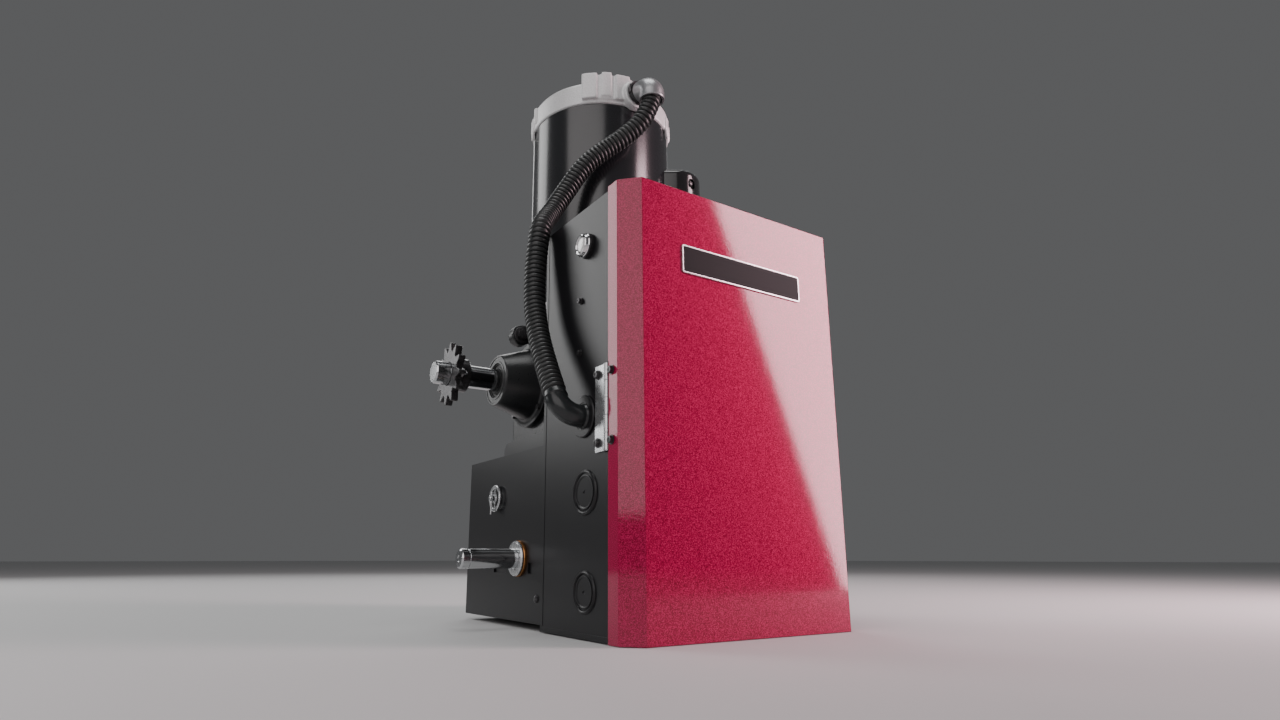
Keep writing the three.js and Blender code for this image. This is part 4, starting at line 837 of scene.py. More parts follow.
# The badge: a blank matt black plate in a bright frame, stuck on the cover.
badge_low, badge_high = corners("badge_plate")
badge_back, badge_front = badge_high[1], badge_low[1]
frame_width = 1.5
badge_outline = rounded(badge_low[0] + 0.4, badge_high[0] - 0.4,
                        badge_low[2] + 0.4, badge_high[2] - 0.4, 1.8)
badge = plate("badge_face", "y", badge_outline, badge_back, badge_front + 0.35 - badge_back)
soften(badge, 0.1)
matt_black = finish("matt_black", (0.006, 0.006, 0.007), 0.45, mottle=0.2, grain=0.004 * mm, shine=0.12)
dress(badge, matt_black, "cover", "black_paint", "badge_plate")
border = plate("badge_frame", "y", rounded(badge_low[0], badge_high[0], badge_low[2], badge_high[2], 2.2),
               badge_back, badge_front - badge_back)
window_outline = rounded(badge_low[0] + frame_width, badge_high[0] - frame_width,
                         badge_low[2] + frame_width, badge_high[2] - frame_width, 1.2)
cut(border, plate("window", "y", window_outline, badge_front - 1, 4))
soften(border, 0.3, 2)
dress(border, zinc, "cover", "zinc")

# ---------------------------------------------------------------------------------------------
# Circuit board on four stand-offs. Green glass laminate with relays, capacitors, chips and screw
# terminals soldered to it; a second strip of terminals takes the field wires.
# ---------------------------------------------------------------------------------------------

board_low, board_high = corners("circuit_board")
board_front = board_low[1]
board_green = finish("board_green", (0.012, 0.13, 0.055), 0.38, mottle=0.3, mottle_size=5 * mm, coat=0.4)
board = brick("board_laminate", board_low, (board_high[0], board_front + 1.6, board_high[2]))
soften(board, 0.2)
dress(board, board_green, "opener", "board_green", "circuit_board")
grey_plastic = finish("grey_plastic", (0.13, 0.135, 0.14), 0.42, mottle=0.12, grain=0.02 * mm)
black_plastic = finish("black_plastic", (0.02, 0.02, 0.021), 0.4, mottle=0.2, grain=0.02 * mm)


def on_board(across, up):
    return board_low[0] + across, board_low[2] + up


for i, (across, up) in enumerate(((8, 8), (132, 8), (8, 172), (132, 172))):
    x, z = on_board(across, up)
    post = rod("board_post_" + str(i), "y", (x, board_front + 1.7, z), 13.5, 3.5, sides=6)
    soften(post, 0.3)
    dress(post, zinc, "opener", "zinc")
    screw = soften(rod("board_screw_" + str(i), "y", (x, board_front - 1.8, z), 1.8, 3.1, sides=32), 0.5, 3)
    cut(screw, brick("slot", (x - 3.2, board_front - 2, z - 0.4), (x + 3.2, board_front - 1.1, z + 0.4)))
    dress(screw, zinc, "opener", "zinc")
for i, (across, up, wide, tall, deep) in enumerate((
        (22, 150, 19, 15, 15), (46, 150, 19, 15, 15), (70, 150, 19, 15, 15), (26, 96, 28, 28, 3.4),
        (70, 104, 16, 9, 2.6), (70, 86, 16, 9, 2.6), (94, 104, 10, 10, 2.4), (98, 150, 24, 16, 10))):
    x, z = on_board(across, up)
    block = brick("board_part_" + str(i), (x, board_front - deep - 0.2, z - tall),
                  (x + wide, board_front - 0.2, z))
    dress(soften(block, 0.6), black_plastic, "opener", "black_plastic")
for i, (across, up, radius) in enumerate(((112, 116, 6.3), (112, 96, 5), (126, 116, 4), (126, 100, 4),
                                          (58, 66, 4))):
    x, z = on_board(across, up)
    can = turned("board_capacitor_" + str(i), "y", (x, 0, z), [
        (0, board_front - 0.2), (radius, board_front - 0.2), (radius, board_front - 1.4),
        (radius - 0.5, board_front - 2), (radius, board_front - 2.6),
        (radius, board_front - 3.1 * radius + 0.6), (radius - 0.8, board_front - 3.1 * radius),
        (0, board_front - 3.1 * radius)], 32)
    shade(can, 40)
    dress(can, zinc, "opener", "zinc")
terminal_pitch = 7.5
terminal_green = finish("terminal_green", (0.02, 0.2, 0.08), 0.4, mottle=0.1)
for row, (across, up, count) in enumerate(((16, 22, 14), (16, 52, 7))):
    for i in range(count):
        x, z = on_board(across + i * terminal_pitch, up)
        way = brick("terminal", (x, board_front - 11, z - 6),
                    (x + terminal_pitch - 0.3, board_front - 0.2, z + 6))
        cut(way, rod("well", "y", (x + terminal_pitch / 2, board_front - 12, z + 1), 4, 2.3, sides=16),
            brick("mouth", (x + 1.6, board_front - 8.6, z - 7),
                  (x + terminal_pitch - 1.9, board_front - 3, z - 2)))
        way.name = "terminal_" + str(row) + "_" + str(i)
        dress(soften(way, 0.35), terminal_green, "opener", "board_green")

# ---------------------------------------------------------------------------------------------
# Transformer and contactor on the box's rear wall. Stacked steel sheets round a taped winding, and
# a grey moulded switch with three rows of screws.
# ---------------------------------------------------------------------------------------------

core_low, core_high = corners("transformer")
core = brick("transformer_core", (core_low[0] + 4, core_low[1], core_low[2]),
             (core_high[0] - 4, core_high[1], core_high[2]))
soften(core, 0.6)
laminations = finish("laminations", (0.05, 0.05, 0.055), 0.45, metal=0.7, mottle=0.3, mottle_size=4 * mm,
                     grain=0.12 * mm, grain_size=1.5 * mm, stretch=(0.05, 1, 0.05))
dress(core, laminations, "opener", "black_steel", "transformer")
coil_middle = (core_low[2] + core_high[2]) / 2
copper = finish("copper_winding", (0.55, 0.2, 0.09), 0.32, metal=0.85, mottle=0.25, mottle_size=3 * mm,
                grain=0.12 * mm, grain_size=1 * mm, stretch=(0.1, 0.1, 2.5))
winding_height = 36
winding_outline = rounded(core_low[0], core_high[0], core_low[1] - 5, core_low[1] + 24, 6)
winding = plate("transformer_winding", "z", winding_outline, coil_middle - winding_height / 2,
                winding_height)
soften(winding, 1.2, 3)
dress(winding, copper, "opener", "copper")
switch_low, switch_high = corners("contactor")
switch = brick("contactor_case", (switch_low[0], switch_low[1] + 8, switch_low[2]), switch_high)
bridge = brick("contactor_bridge", (switch_low[0] + 6, switch_low[1], switch_low[2] + 14),
               (switch_high[0] - 6, switch_low[1] + 9, switch_high[2] - 14))
soften(bridge, 1.2, 3)
pole_pitch = 14
for i in range(3):
    x = switch_low[0] + 7 + i * pole_pitch
    for z in (switch_low[2] - 1, switch_high[2] - 11):
        cut(switch, brick("bay", (x, switch_low[1] + 6, z), (x + 10, switch_low[1] + 20, z + 12)))
joined(soften(switch, 0.7), bridge)
dress(switch, grey_plastic, "opener", "grey_plastic", "contactor")
for i in range(3):
    for j, z in enumerate((switch_low[2] + 5, switch_high[2] - 5)):
        clamp = turned("contactor_screw_" + str(2 * i + j), "y", (switch_low[0] + 12 + i * pole_pitch, 0, z), [
            (0, switch_low[1] + 15), (2, switch_low[1] + 15), (3.4, switch_low[1] + 15.6),
            (3.4, switch_low[1] + 20), (0, switch_low[1] + 20)], 24)
        shade(clamp, 40)
        dress(clamp, zinc, "opener", "zinc")

# ---------------------------------------------------------------------------------------------
# Motor shell: rolled steel tube, painted a shiny black, closed by a cast flange below and the end
# bell above. Long through bolts pull the three together.
# ---------------------------------------------------------------------------------------------

shell_low, shell_high = corners("motor_shell")
motor_x, motor_y = middle("motor_shell")[:2]
motor_radius = (shell_high[0] - shell_low[0]) / 2
motor_at = (motor_x, motor_y, 0)
shell = turned("motor_steel_shell", "z", motor_at, [
    (motor_radius - 2, shell_low[2]), (motor_radius - 0.4, shell_low[2]),
    (motor_radius, shell_low[2] + 0.6), (motor_radius, shell_high[2] - 0.6),
    (motor_radius - 0.4, shell_high[2]), (motor_radius - 2, shell_high[2]),
    (motor_radius - 2, shell_low[2])], 144)
shade(shell, 30)
motor_paint = finish("motor_paint", (0.014, 0.015, 0.017), 0.19, mottle=0.18, mottle_size=50 * mm,
                     spread=0.05, grain=0.02 * mm, grain_size=0.8 * mm, shine=0.85)
dress(shell, motor_paint, "opener", "black_paint", "motor_shell")

flange_low, flange_high = corners("motor_flange")
lower_flange = turned("motor_lower_flange", "z", motor_at, [
    (24, flange_low[2]), (motor_radius - 2.5, flange_low[2]), (motor_radius - 0.8, flange_low[2] + 0.9),
    (motor_radius, flange_low[2] + 2.6), (motor_radius, shell_low[2] - 1.2),
    (motor_radius - 0.7, shell_low[2] - 0.4), (motor_radius - 2.6, shell_low[2] - 0.4),
    (motor_radius - 2.6, shell_low[2] + 5), (34, shell_low[2] + 5), (34, flange_high[2]),
    (24, flange_high[2]), (24, flange_low[2])], 120)
shade(lower_flange, 30)
cast_aluminium = finish("cast_aluminium", (0.86, 0.87, 0.88), 0.42, metal=0.3, mottle=0.32,
                        mottle_size=1.6 * mm, spread=0.1, grain=0.45 * mm, grain_size=1.7 * mm)
dress(lower_flange, cast_aluminium, "opener", "cast_aluminium", "motor_flange")

# ---------------------------------------------------------------------------------------------
# End bell. Sand-cast aluminium: a shallow cap with a raised block on its front, a boss for the
# hose's connector, pointed ribs round the rim and lugs for the through bolts.
# ---------------------------------------------------------------------------------------------


def cast(piece, grid, passes):
    """Melts the overlapping shapes of a casting into one skin with small fillets."""
    skin = piece.modifiers.new("skin", "REMESH")
    skin.mode = "VOXEL"
    skin.voxel_size = grid * mm
    apply(piece, skin)
    settle_down = piece.modifiers.new("fillets", "SMOOTH")
    settle_down.factor = 0.5
    settle_down.iterations = passes
    apply(piece, settle_down)
    shade(piece, 60)
    return piece


def rim_pad(name, start, end, inner, outer, bottom, top):
    """A pad that follows the rim of the motor between two angles."""
    steps = max(2, round(abs(end - start) / 2.5))
    outline = [*arc(motor_x, motor_y, outer, start, end, steps),
               *arc(motor_x, motor_y, inner, end, start, steps)]
    return plate(name, "z", outline, bottom, top - bottom)


def pointed(name, angle, width, inner, outer, bottom, top):
    """An upright rib that narrows to a point at its foot, set at an angle round the motor."""
    half = width / 2
    rib = plate(name, "y", [(motor_x - half, top), (motor_x - half, bottom + 1.6 * width),
                            (motor_x, bottom), (motor_x + half, bottom + 1.6 * width),
                            (motor_x + half, top)],
                motor_y - outer, outer - inner)
    twin = copied(rib, name, spin=angle + 90, centre=motor_at)
    bpy.data.objects.remove(rib)
    return twin


bell_foot = shell_high[2] + 0.3
bell_top = bell_foot + 28.7
bell_radius = motor_radius + 2
bell = turned("end_bell_casting", "z", motor_at, [
    (0, bell_top + 8), (40, bell_top + 7), (bell_radius - 8, bell_top + 2),
    (bell_radius - 2.5, bell_top - 1.2), (bell_radius, bell_top - 5), (bell_radius, bell_foot),
    (motor_radius - 2.4, bell_foot), (motor_radius - 2.4, bell_foot - 4), (motor_radius - 6, bell_foot - 4),
    (motor_radius - 6, bell_foot + 12), (bell_radius - 10, bell_foot + 20.7), (26, bell_foot + 20.7),
    (26, bell_foot + 2), (20.4, bell_foot + 2), (20.4, bell_foot + 19.7), (0, bell_foot + 19.7)], 144)
nut_low, nut_high = corners("connector_nut")
boss_x, boss_z = middle("connector_nut")[::2]
boss_face = nut_high[1] + 0.3
boss = rod("boss", "y", (boss_x, boss_face, boss_z), 22, 17, sides=72)
cut(boss, rod("clearance", "z", (motor_x, motor_y, bell_foot - 30), 30, motor_radius + 0.3, sides=144))
proud = bell_radius + 5.5
ribs = [
    rim_pad("left_pad", -136, -124.3, bell_radius - 6, proud, bell_foot + 3, bell_top + 7),
    rim_pad("floor_pad", -125, -111, bell_radius - 6, bell_radius + 2.6, bell_foot + 3, bell_top + 5.6),
    rim_pad("middle_rib", -120.6, -113.4, bell_radius - 6, proud - 0.4, bell_foot + 6, bell_top + 8),
    rim_pad("fine_ridge", -122.4, -121.7, bell_radius - 6, proud - 1.6, bell_foot + 6, bell_top + 6),
    rim_pad("right_pad", -110.6, -99.5, bell_radius - 6, proud, bell_foot + 3, bell_top + 6.4),
    rim_pad("slope", -112, -96.5, bell_radius - 6, bell_radius + 2.6, bell_foot + 3, bell_top + 4.6),
]
for i, angle in enumerate((172, 115, 25, -30)):
    ribs.append(pointed("rib_" + str(i), angle, 4.6, bell_radius - 5, bell_radius + 2.6, bell_foot + 3,
                        bell_top - 3))
through_bolts = (164, 74, -16, -52)
for i, angle in enumerate(through_bolts):
    ribs.append(pointed("lug_" + str(i), angle, 10, motor_radius + 0.4, bell_radius + 2.6, bell_foot - 13,
                        bell_top - 12))
joined(bell, boss, *ribs)
cast(bell, 1.15, 3)
cut(bell, rod("entry", "y", (boss_x, boss_face - 1, boss_z), 30, 9, sides=48))
dress(bell, cast_aluminium, "opener", "cast_aluminium", "end_bell")
for i, angle in enumerate(through_bolts):
    turn = math.radians(angle)
    x = motor_x + (bell_radius - 6) * math.cos(turn)
    y = motor_y + (bell_radius - 6) * math.sin(turn)
    bolt = rod("through_bolt_" + str(i), "z", (x, y, bell_top - 1), 4, 4, sides=6)
    dress(soften(bolt, 0.5), black_steel, "opener", "black_steel")

# ---------------------------------------------------------------------------------------------
# Connector on the end bell. A black lock ring and a smooth die-cast hood that turns down over the
# hose's end.
# ---------------------------------------------------------------------------------------------

ring_radius = (nut_high[2] - nut_low[2]) / 2
lock_ring = turned("connector_lock_ring", "y", (boss_x, 0, boss_z), [
    (9, nut_low[1]), (ring_radius - 0.6, nut_low[1]), (ring_radius, nut_low[1] + 0.6),
    (ring_radius, nut_high[1] - 0.6), (ring_radius - 0.6, nut_high[1]), (9, nut_high[1]),
    (9, nut_low[1])], 72)
for i in range(8):
    turn = math.radians(22.5 + 45 * i)
    x, z = boss_x + ring_radius * math.cos(turn), boss_z + ring_radius * math.sin(turn)
    cut(lock_ring, rod("notch", "y", (x, nut_low[1] - 1, z), nut_high[1] - nut_low[1] + 2, 1.6, sides=16))
shade(lock_ring, 30)
dress(lock_ring, black_steel, "opener", "black_steel", "connector_nut")

hood_x, hood_y, hood_mouth = hose_route[-1][0] / mm, hose_route[-1][1] / mm, hose_route[-1][2] / mm - 6
hood_radius = 14.4
tail_radius = 12.4
hood_reach = nut_low[1] - 0.4 - hood_y
hood_line, hood_sizes = [], []
turn_steps = 14
for i in range(turn_steps + 1):
    angle = math.pi / 2 * i / turn_steps
    share = i / turn_steps
    hood_line.append(point((boss_x + (hood_x - boss_x) * share, hood_y + hood_reach * (1 - math.sin(angle)),
                            boss_z - 2 - (boss_z - 2 - hood_mouth - 8) * (1 - math.cos(angle)))))
    hood_sizes.append((tail_radius + (hood_radius - tail_radius) * share) * mm)
hood_line += [point((hood_x, hood_y, hood_mouth + up)) for up in (4, 0.8, 0)]
hood_sizes += [hood_radius * mm, (hood_radius + 0.3) * mm, (hood_radius - 0.2) * mm]
hood = sweep("connector_hood", hood_line, hood_sizes, 48)
edit(hood)
bpy.ops.mesh.normals_make_consistent(inside=False)
rest()
cut(hood, rod("mouth", "z", (hood_x, hood_y, hood_mouth - 1), 8, 12.1, sides=48))
tail = rod("tail", "y", (boss_x, nut_low[1] - 2, boss_z), 24, 8.7, sides=40)
joined(hood, tail)
shade(hood, 35)
die_cast = finish("die_cast", (0.46, 0.47, 0.48), 0.34, metal=0.8, mottle=0.12, mottle_size=12 * mm,
                  spread=0.07, grain=0.03 * mm, grain_size=1 * mm)
dress(hood, die_cast, "opener", "zinc", "motor_connector")

# ---------------------------------------------------------------------------------------------
# Capacitor cover on the motor's right front. Pressed steel, glossy black, with rolled ends and one
# screw in a pocket near its top.
# ---------------------------------------------------------------------------------------------

cover_angle = -34
cap_reach, cap_half = 40, 31
hump_low, hump_high = corners("capacitor_cover")
hump_bottom, hump_top = hump_low[2], hump_high[2]
turn = math.radians(cover_angle)
nose_x = motor_x + (motor_radius + cap_reach - cap_half) * math.cos(turn)
nose_y = motor_y + (motor_radius + cap_reach - cap_half) * math.sin(turn)
hump = [(motor_radius - 22, -cap_half), *arc(motor_radius + cap_reach - cap_half, 0, cap_half, -90, 90, 28),
        (motor_radius - 22, cap_half)]
hump_outline = [(motor_x + u * math.cos(turn) - v * math.sin(turn),
                 motor_y + u * math.sin(turn) + v * math.cos(turn))
                for u, v in hump]
hump_round = 8
round_steps = 6
round_turn = 90 / round_steps
hump_piece = plate("capacitor_steel_cover", "z", hump_outline, hump_bottom + hump_round,
                   hump_top - hump_bottom - 2 * hump_round)
for side, end in ((1, hump_top - hump_round), (-1, hump_bottom + hump_round)):
    edit(hump_piece, "DESELECT")
    rest()
    for corner in hump_piece.data.vertices:
        corner.select = abs(corner.co.z - end * mm) < 0.1 * mm
    bpy.context.view_layer.objects.active = hump_piece
    bpy.ops.object.mode_set(mode="EDIT")
    for step in range(1, round_steps + 1):
        before, after = math.radians(round_turn * (step - 1)), math.radians(round_turn * step)
        push((0, 0, side * hump_round * (math.sin(after) - math.sin(before))))
        was_in, now_in = [hump_round * (1 - math.cos(a)) for a in (before, after)]
        share = (cap_half - now_in) / (cap_half - was_in)
        bpy.ops.transform.resize(value=(share, share, 1), center_override=point((nose_x, nose_y, 0)))
    edit(hump_piece)
    bpy.ops.mesh.normals_make_consistent(inside=False)
    rest()
cut(hump_piece, rod("clearance", "z", (motor_x, motor_y, hump_bottom - 20), hump_top - hump_bottom + 40,
                    motor_radius + 0.3, sides=144))
pocket_angle = math.radians(-86)
pocket_z = hump_top - 17


def toward(piece, name, angle, out):
    """Turns a shape made along -Y at the nose's centre to an angle round it, moved outwards."""
    twin = copied(piece, name, shift=(out * math.cos(angle), out * math.sin(angle), 0),
                  spin=math.degrees(angle) + 90, centre=(nose_x, nose_y, 0))
    bpy.data.objects.remove(piece)
    return twin


pocket = plate("pocket", "y", rounded(nose_x - 5, nose_x + 5, pocket_z - 9, pocket_z + 5, 4.9, 8),
               nose_y - 4, 8)
cut(hump_piece, toward(pocket, "pocket_tool", pocket_angle, cap_half))
shade(hump_piece, 35)
gloss_paint = finish("gloss_paint", (0.012, 0.012, 0.013), 0.16, mottle=0.2, spread=0.04, grain=0.01 * mm,
                     coat=0.5)
dress(hump_piece, gloss_paint, "opener", "black_paint", "capacitor_cover")
pocket_screw = turned("capacitor_screw", "y", (nose_x, 0, pocket_z), [
    (0, nose_y - 3), (2.2, nose_y - 2.8), (3.4, nose_y - 1.6), (3.6, nose_y - 0.4), (3.6, nose_y),
    (0, nose_y)], 32)
cut(pocket_screw, brick("slot", (nose_x - 4, nose_y - 4, pocket_z - 0.45),
                        (nose_x + 4, nose_y - 2, pocket_z + 0.45)))
shade(pocket_screw, 35)
dress(toward(pocket_screw, "capacitor_cover_screw", pocket_angle, cap_half - 3.6), black_steel, "opener",
      "zinc")

# ---------------------------------------------------------------------------------------------
# Gear reducer. A cast iron case painted black, with a lug on its left for a lifting bolt. Turned
# caps close both ends of the wheel's bore; the left one is a long tapered boss round the shaft.
# ---------------------------------------------------------------------------------------------

iron_paint = finish("iron_paint", (0.014, 0.015, 0.016), 0.3, mottle=0.22, mottle_size=18 * mm, spread=0.08,
                    grain=0.12 * mm, grain_size=1.4 * mm)
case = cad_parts["gear_housing"].copy()
case.data = case.data.copy()
case.name = "gear_case_casting"
case.data.name = "gear_case_casting"
case.parent = None
scene.collection.objects.link(case)
edit(case)
bpy.ops.mesh.remove_doubles(threshold=0.01 * mm)
rest()
cast(case, 1.5, 4)
dress(case, iron_paint, "opener", "cast_iron", "gear_housing")

shaft_y, shaft_z = middle("output_shaft")[1:]
shaft_at = (0, shaft_y, shaft_z)
cap_low, cap_high = corners("bearing_cap_left")
face = cap_low[0]
spigot = 9
inner = cap_high[0] - spigot
boss_cap = turned("output_boss_cap", "x", shaft_at, [
    (13.4, face + 3.2), (20.4, face + 3.2), (20.4, face), (22.2, face), (22.6, face + 0.7),
    (26.4, face + 0.7), (26.8, face), (28.4, face), (29.2, face + 0.9), (29.7, face + 2.2),
    (41.4, inner - 8.6), (43, inner - 6.9), (45.2, inner - 6.1), (49.2, inner - 6), (50, inner - 5.2),
    (50, inner), (41.6, inner), (41.6, inner + spigot), (26.4, inner + spigot), (26.4, inner - 6.2),
    (15, inner - 6.2), (15, face + 7.4), (13.4, face + 7.4), (13.4, face + 3.2)], 120)
shade(boss_cap, 28)
dress(boss_cap, iron_paint, "opener", "cast_iron", "bearing_cap_left")
right_low, right_high = corners("bearing_cap_right")
right_face = right_low[0] + spigot
right_cap = turned("closed_bearing_cap", "x", shaft_at, [
    (0, right_high[0]), (33, right_high[0]), (36, right_high[0] - 1), (42, right_face + 7),
    (44.5, right_face + 6), (49.2, right_face + 5.8), (50, right_face + 5), (50, right_face),
    (41.7, right_face), (41.7, right_face - spigot), (26.4, right_face - spigot), (26.4, right_face + 6.4),
    (0, right_face + 6.4)], 120)
shade(right_cap, 28)
dress(right_cap, iron_paint, "opener", "cast_iron", "bearing_cap_right")
bolt_circle = 46
for i in range(4):
    turn = math.radians(45 + 90 * i)
    y, z = shaft_y + bolt_circle * math.cos(turn), shaft_z + bolt_circle * math.sin(turn)
    for side, start in (("left", inner - 9.6), ("right", right_face + 5.8)):
        bolt = soften(rod("cap_bolt_" + side + "_" + str(i), "x", (start, y, z), 3.8, 3.6, sides=6), 0.5)
        dress(bolt, black_steel, "opener", "black_steel")

rubber = finish("seal_rubber", (0.012, 0.012, 0.012), 0.5, mottle=0.2, grain=0.02 * mm)
seal = turned("output_shaft_seal", "x", shaft_at, [
    (13.1, face + 2.4), (14.2, face + 1.4), (15.6, face + 1.9), (16.4, face + 2.6), (18.4, face + 2.6),
    (19, face + 1.1), (20, face + 1.1), (20, face + 6.8), (13.1, face + 6.8), (13.1, face + 2.4)])
shade(seal, 30)
dress(seal, rubber, "opener", "black_plastic", "shaft_seal")

bolt_low, bolt_high = corners("lug_bolt")
bolt_x, _, bolt_z = middle("lug_bolt")
lug_bolt = soften(rod("lifting_lug_bolt", "y", (bolt_x, bolt_low[1], bolt_z), 5, 6.6, sides=6), 0.6)
washer = turned("washer", "y", (bolt_x, 0, bolt_z), [
    (4.2, bolt_low[1] + 4.4), (9.4, bolt_low[1] + 4.4), (9.8, bolt_low[1] + 4.9), (9.4, bolt_low[1] + 5.3),
    (4.2, bolt_low[1] + 5.3), (4.2, bolt_low[1] + 4.4)], 48)
shade(washer, 30)
stem = rod("stem", "y", (bolt_x, bolt_low[1] + 4, bolt_z), bolt_high[1] - bolt_low[1] - 4, 4, sides=32)
joined(lug_bolt, washer, stem)
dress(lug_bolt, black_steel, "opener", "black_steel", "lug_bolt")

# ---------------------------------------------------------------------------------------------
# Output shaft with its key and chain sprocket. Ground steel, chamfered at the end; the sprocket's
# teeth are cut from plate, blackened, and its hub is held by a square key and a set screw.
# ---------------------------------------------------------------------------------------------

shaft_low, shaft_high = corners("output_shaft")
shaft_radius = (shaft_high[2] - shaft_low[2]) / 2
sprocket_low, sprocket_high = corners("drive_sprocket")
key_low, key_high = corners("drive_key")
shaft = turned("output_drive_shaft", "x", shaft_at, [
    (0, shaft_low[0]), (shaft_radius - 1.5, shaft_low[0]), (shaft_radius - 0.2, shaft_low[0] + 1.3),
    (shaft_radius, shaft_low[0] + 1.7), (shaft_radius, shaft_high[0]), (0, shaft_high[0])], 96)
cut(shaft, brick("keyway", (sprocket_low[0] - 2, shaft_y - shaft_radius - 1, shaft_z - 3.2),
                 (key_high[0] + 0.3, shaft_y - shaft_radius + 3.2, shaft_z + 3.2)))
shade(shaft, 30)
dress(shaft, ground_steel, "output", "steel", "output_shaft")
key = soften(brick("sprocket_key", key_low, key_high), 0.35)
dress(key, ground_steel, "output", "steel", "drive_key")


def sprocket_outline(teeth, root, tip, phase, steps=12):
    """Teeth with round seats for the chain's rollers and narrow, slightly flat tips."""
    outline = []
    for i in range(teeth * steps):
        turn = 2 * math.pi * (i / steps) / teeth + phase
        wave = 0.5 + 0.5 * math.cos(2 * math.pi * (i % steps) / steps)
        radius = root + (tip - root) * min(1, wave ** 1.35 * 1.08)
        outline.append((shaft_y + radius * math.cos(turn), shaft_z + radius * math.sin(turn)))
    return outline


tooth_thickness = 8
hub_radius = shaft_radius + 6.1
teeth = plate("drive_sprocket_teeth", "x", sprocket_outline(12, 25.6, 35.2, 0.12), sprocket_low[0],
              tooth_thickness)
cut(teeth, rod("bore", "x", (sprocket_low[0] - 1, shaft_y, shaft_z), 12, shaft_radius + 0.3, sides=64))
soften(teeth, 0.9, 2, 50)
hub = turned("hub", "x", shaft_at, [
    (shaft_radius + 0.3, sprocket_low[0] + tooth_thickness - 1),
    (hub_radius, sprocket_low[0] + tooth_thickness - 1), (hub_radius, sprocket_high[0] - 1),
    (hub_radius - 1, sprocket_high[0]), (shaft_radius + 1, sprocket_high[0]),
    (shaft_radius + 0.3, sprocket_high[0] - 0.8),
    (shaft_radius + 0.3, sprocket_low[0] + tooth_thickness - 1)])
hub_middle = (sprocket_low[0] + tooth_thickness + sprocket_high[0]) / 2
cut(hub, rod("tap", "y", (hub_middle, shaft_y - hub_radius - 2, shaft_z), 12, 3.2, sides=32),
    brick("keyway", (sprocket_low[0] + 1, shaft_y - shaft_radius - 3.2, shaft_z - 3.2),
          (sprocket_high[0] + 1, shaft_y, shaft_z + 3.2)))
shade(hub, 30)
joined(teeth, hub)
dress(teeth, black_steel, "output", "black_steel", "drive_sprocket")
screw_low, screw_high = corners("sprocket_set_screw")
set_screw = turned("hub_set_screw", "y", (hub_middle, 0, shaft_z), [
    (0, screw_low[1] + 1.6), (1.4, screw_low[1] + 1.6), (1.5, screw_low[1]), (2.5, screw_low[1]),
    (3, screw_low[1] + 0.6), (3, screw_high[1]), (0, screw_high[1])], 32)
shade(set_screw, 30)
dress(set_screw, zinc, "output", "zinc", "sprocket_set_screw")

# ---------------------------------------------------------------------------------------------
# Frame. Wall plate, two side plates and the channel under the reducer, all cut and folded from
# plate and painted black; the wall plate takes four anchors.
# ---------------------------------------------------------------------------------------------

frame_paint = finish("frame_paint", (0.010, 0.010, 0.0115), 0.32, mottle=0.25, mottle_size=40 * mm,
                     grain=0.05 * mm, grain_size=1.1 * mm)
wall_low, wall_high = corners("wall_plate")
neck_half = 46
neck_left, neck_right = motor_x - neck_half, motor_x + neck_half
shoulder = -10
wall_round, neck_round = 12, 8
wall_outline = [
    (wall_low[0], wall_low[2]), (wall_high[0], wall_low[2]),
    *arc(wall_high[0] - wall_round, shoulder - wall_round, wall_round, 0, 90, 6), (neck_right, shoulder),
    *arc(neck_right - neck_round, wall_high[2] - neck_round, neck_round, 0, 90, 6),
    *arc(neck_left + neck_round, wall_high[2] - neck_round, neck_round, 90, 180, 6), (neck_left, shoulder),
    *arc(wall_low[0] + wall_round, shoulder - wall_round, wall_round, 90, 180, 6)]
wall = plate("wall_mounting_plate", "y", wall_outline, wall_low[1], wall_high[1] - wall_low[1])
inset = 16
for x, z in ((wall_low[0] + inset, wall_low[2] + inset), (wall_high[0] - inset, wall_low[2] + inset),
             (neck_left + inset, wall_high[2] - inset), (neck_right - inset, wall_high[2] - inset)):
    cut(wall, rod("anchor", "y", (x, wall_low[1] - 1, z), 7, 5.5, sides=48))
soften(wall, 0.5)
dress(wall, frame_paint, "opener", "black_steel", "wall_plate")

housing_low, housing_high = corners("lower_housing")
hoist_y, hoist_z = middle("hoist_shaft")[1:]
release_y, release_z = middle("release_pin")[1:]
sheet = 1.6
plate_front_share = 0.52
front_depth = plate_front_share * (housing_high[1] - housing_low[1])
bush_hole, pin_hole = 13.3, 3.5
for side, name in ((-1, "left"), (1, "right")):
    low, high = corners("side_plate_" + name)
    step_y = low[1] + front_depth
    shoulder_z = housing_high[2] - sheet - 0.3
    outline = [(low[1], low[2]), (high[1], low[2]), (high[1], shoulder_z), (step_y, shoulder_z),
               *arc(step_y - 12, high[2] - 12, 12, 0, 90, 8), *arc(low[1] + 3, high[2] - 3, 3, 90, 180, 4)]
    side_plate = plate("frame_side_" + name, "x", outline, low[0], high[0] - low[0])
    cut(side_plate, rod("bush_hole", "x", (low[0] - 1, hoist_y, hoist_z), 8, bush_hole),
        rod("pin_hole", "x", (low[0] - 1, release_y, release_z), 8, pin_hole, sides=32))
    soften(side_plate, 0.4)
    dress(side_plate, frame_paint, "opener", "black_steel", "side_plate_" + name)
base_low, base_high = corners("reducer_base")
base_sheet = 5
base = brick("reducer_channel", base_low, base_high)
cut(base, brick("hollow", (base_low[0] + base_sheet, base_low[1] - 1, base_low[2] - 1),
                (base_high[0] - base_sheet, base_high[1] + 1, base_high[2] - base_sheet)))
soften(base, 1.6, 3)
dress(base, frame_paint, "opener", "black_steel", "reducer_base")
bolt_side, bolt_inset = 68, 14
bolt_places = [(x, y) for y in (base_low[1] + bolt_inset, base_high[1] - bolt_inset)
               for x in (-bolt_side, bolt_side)]
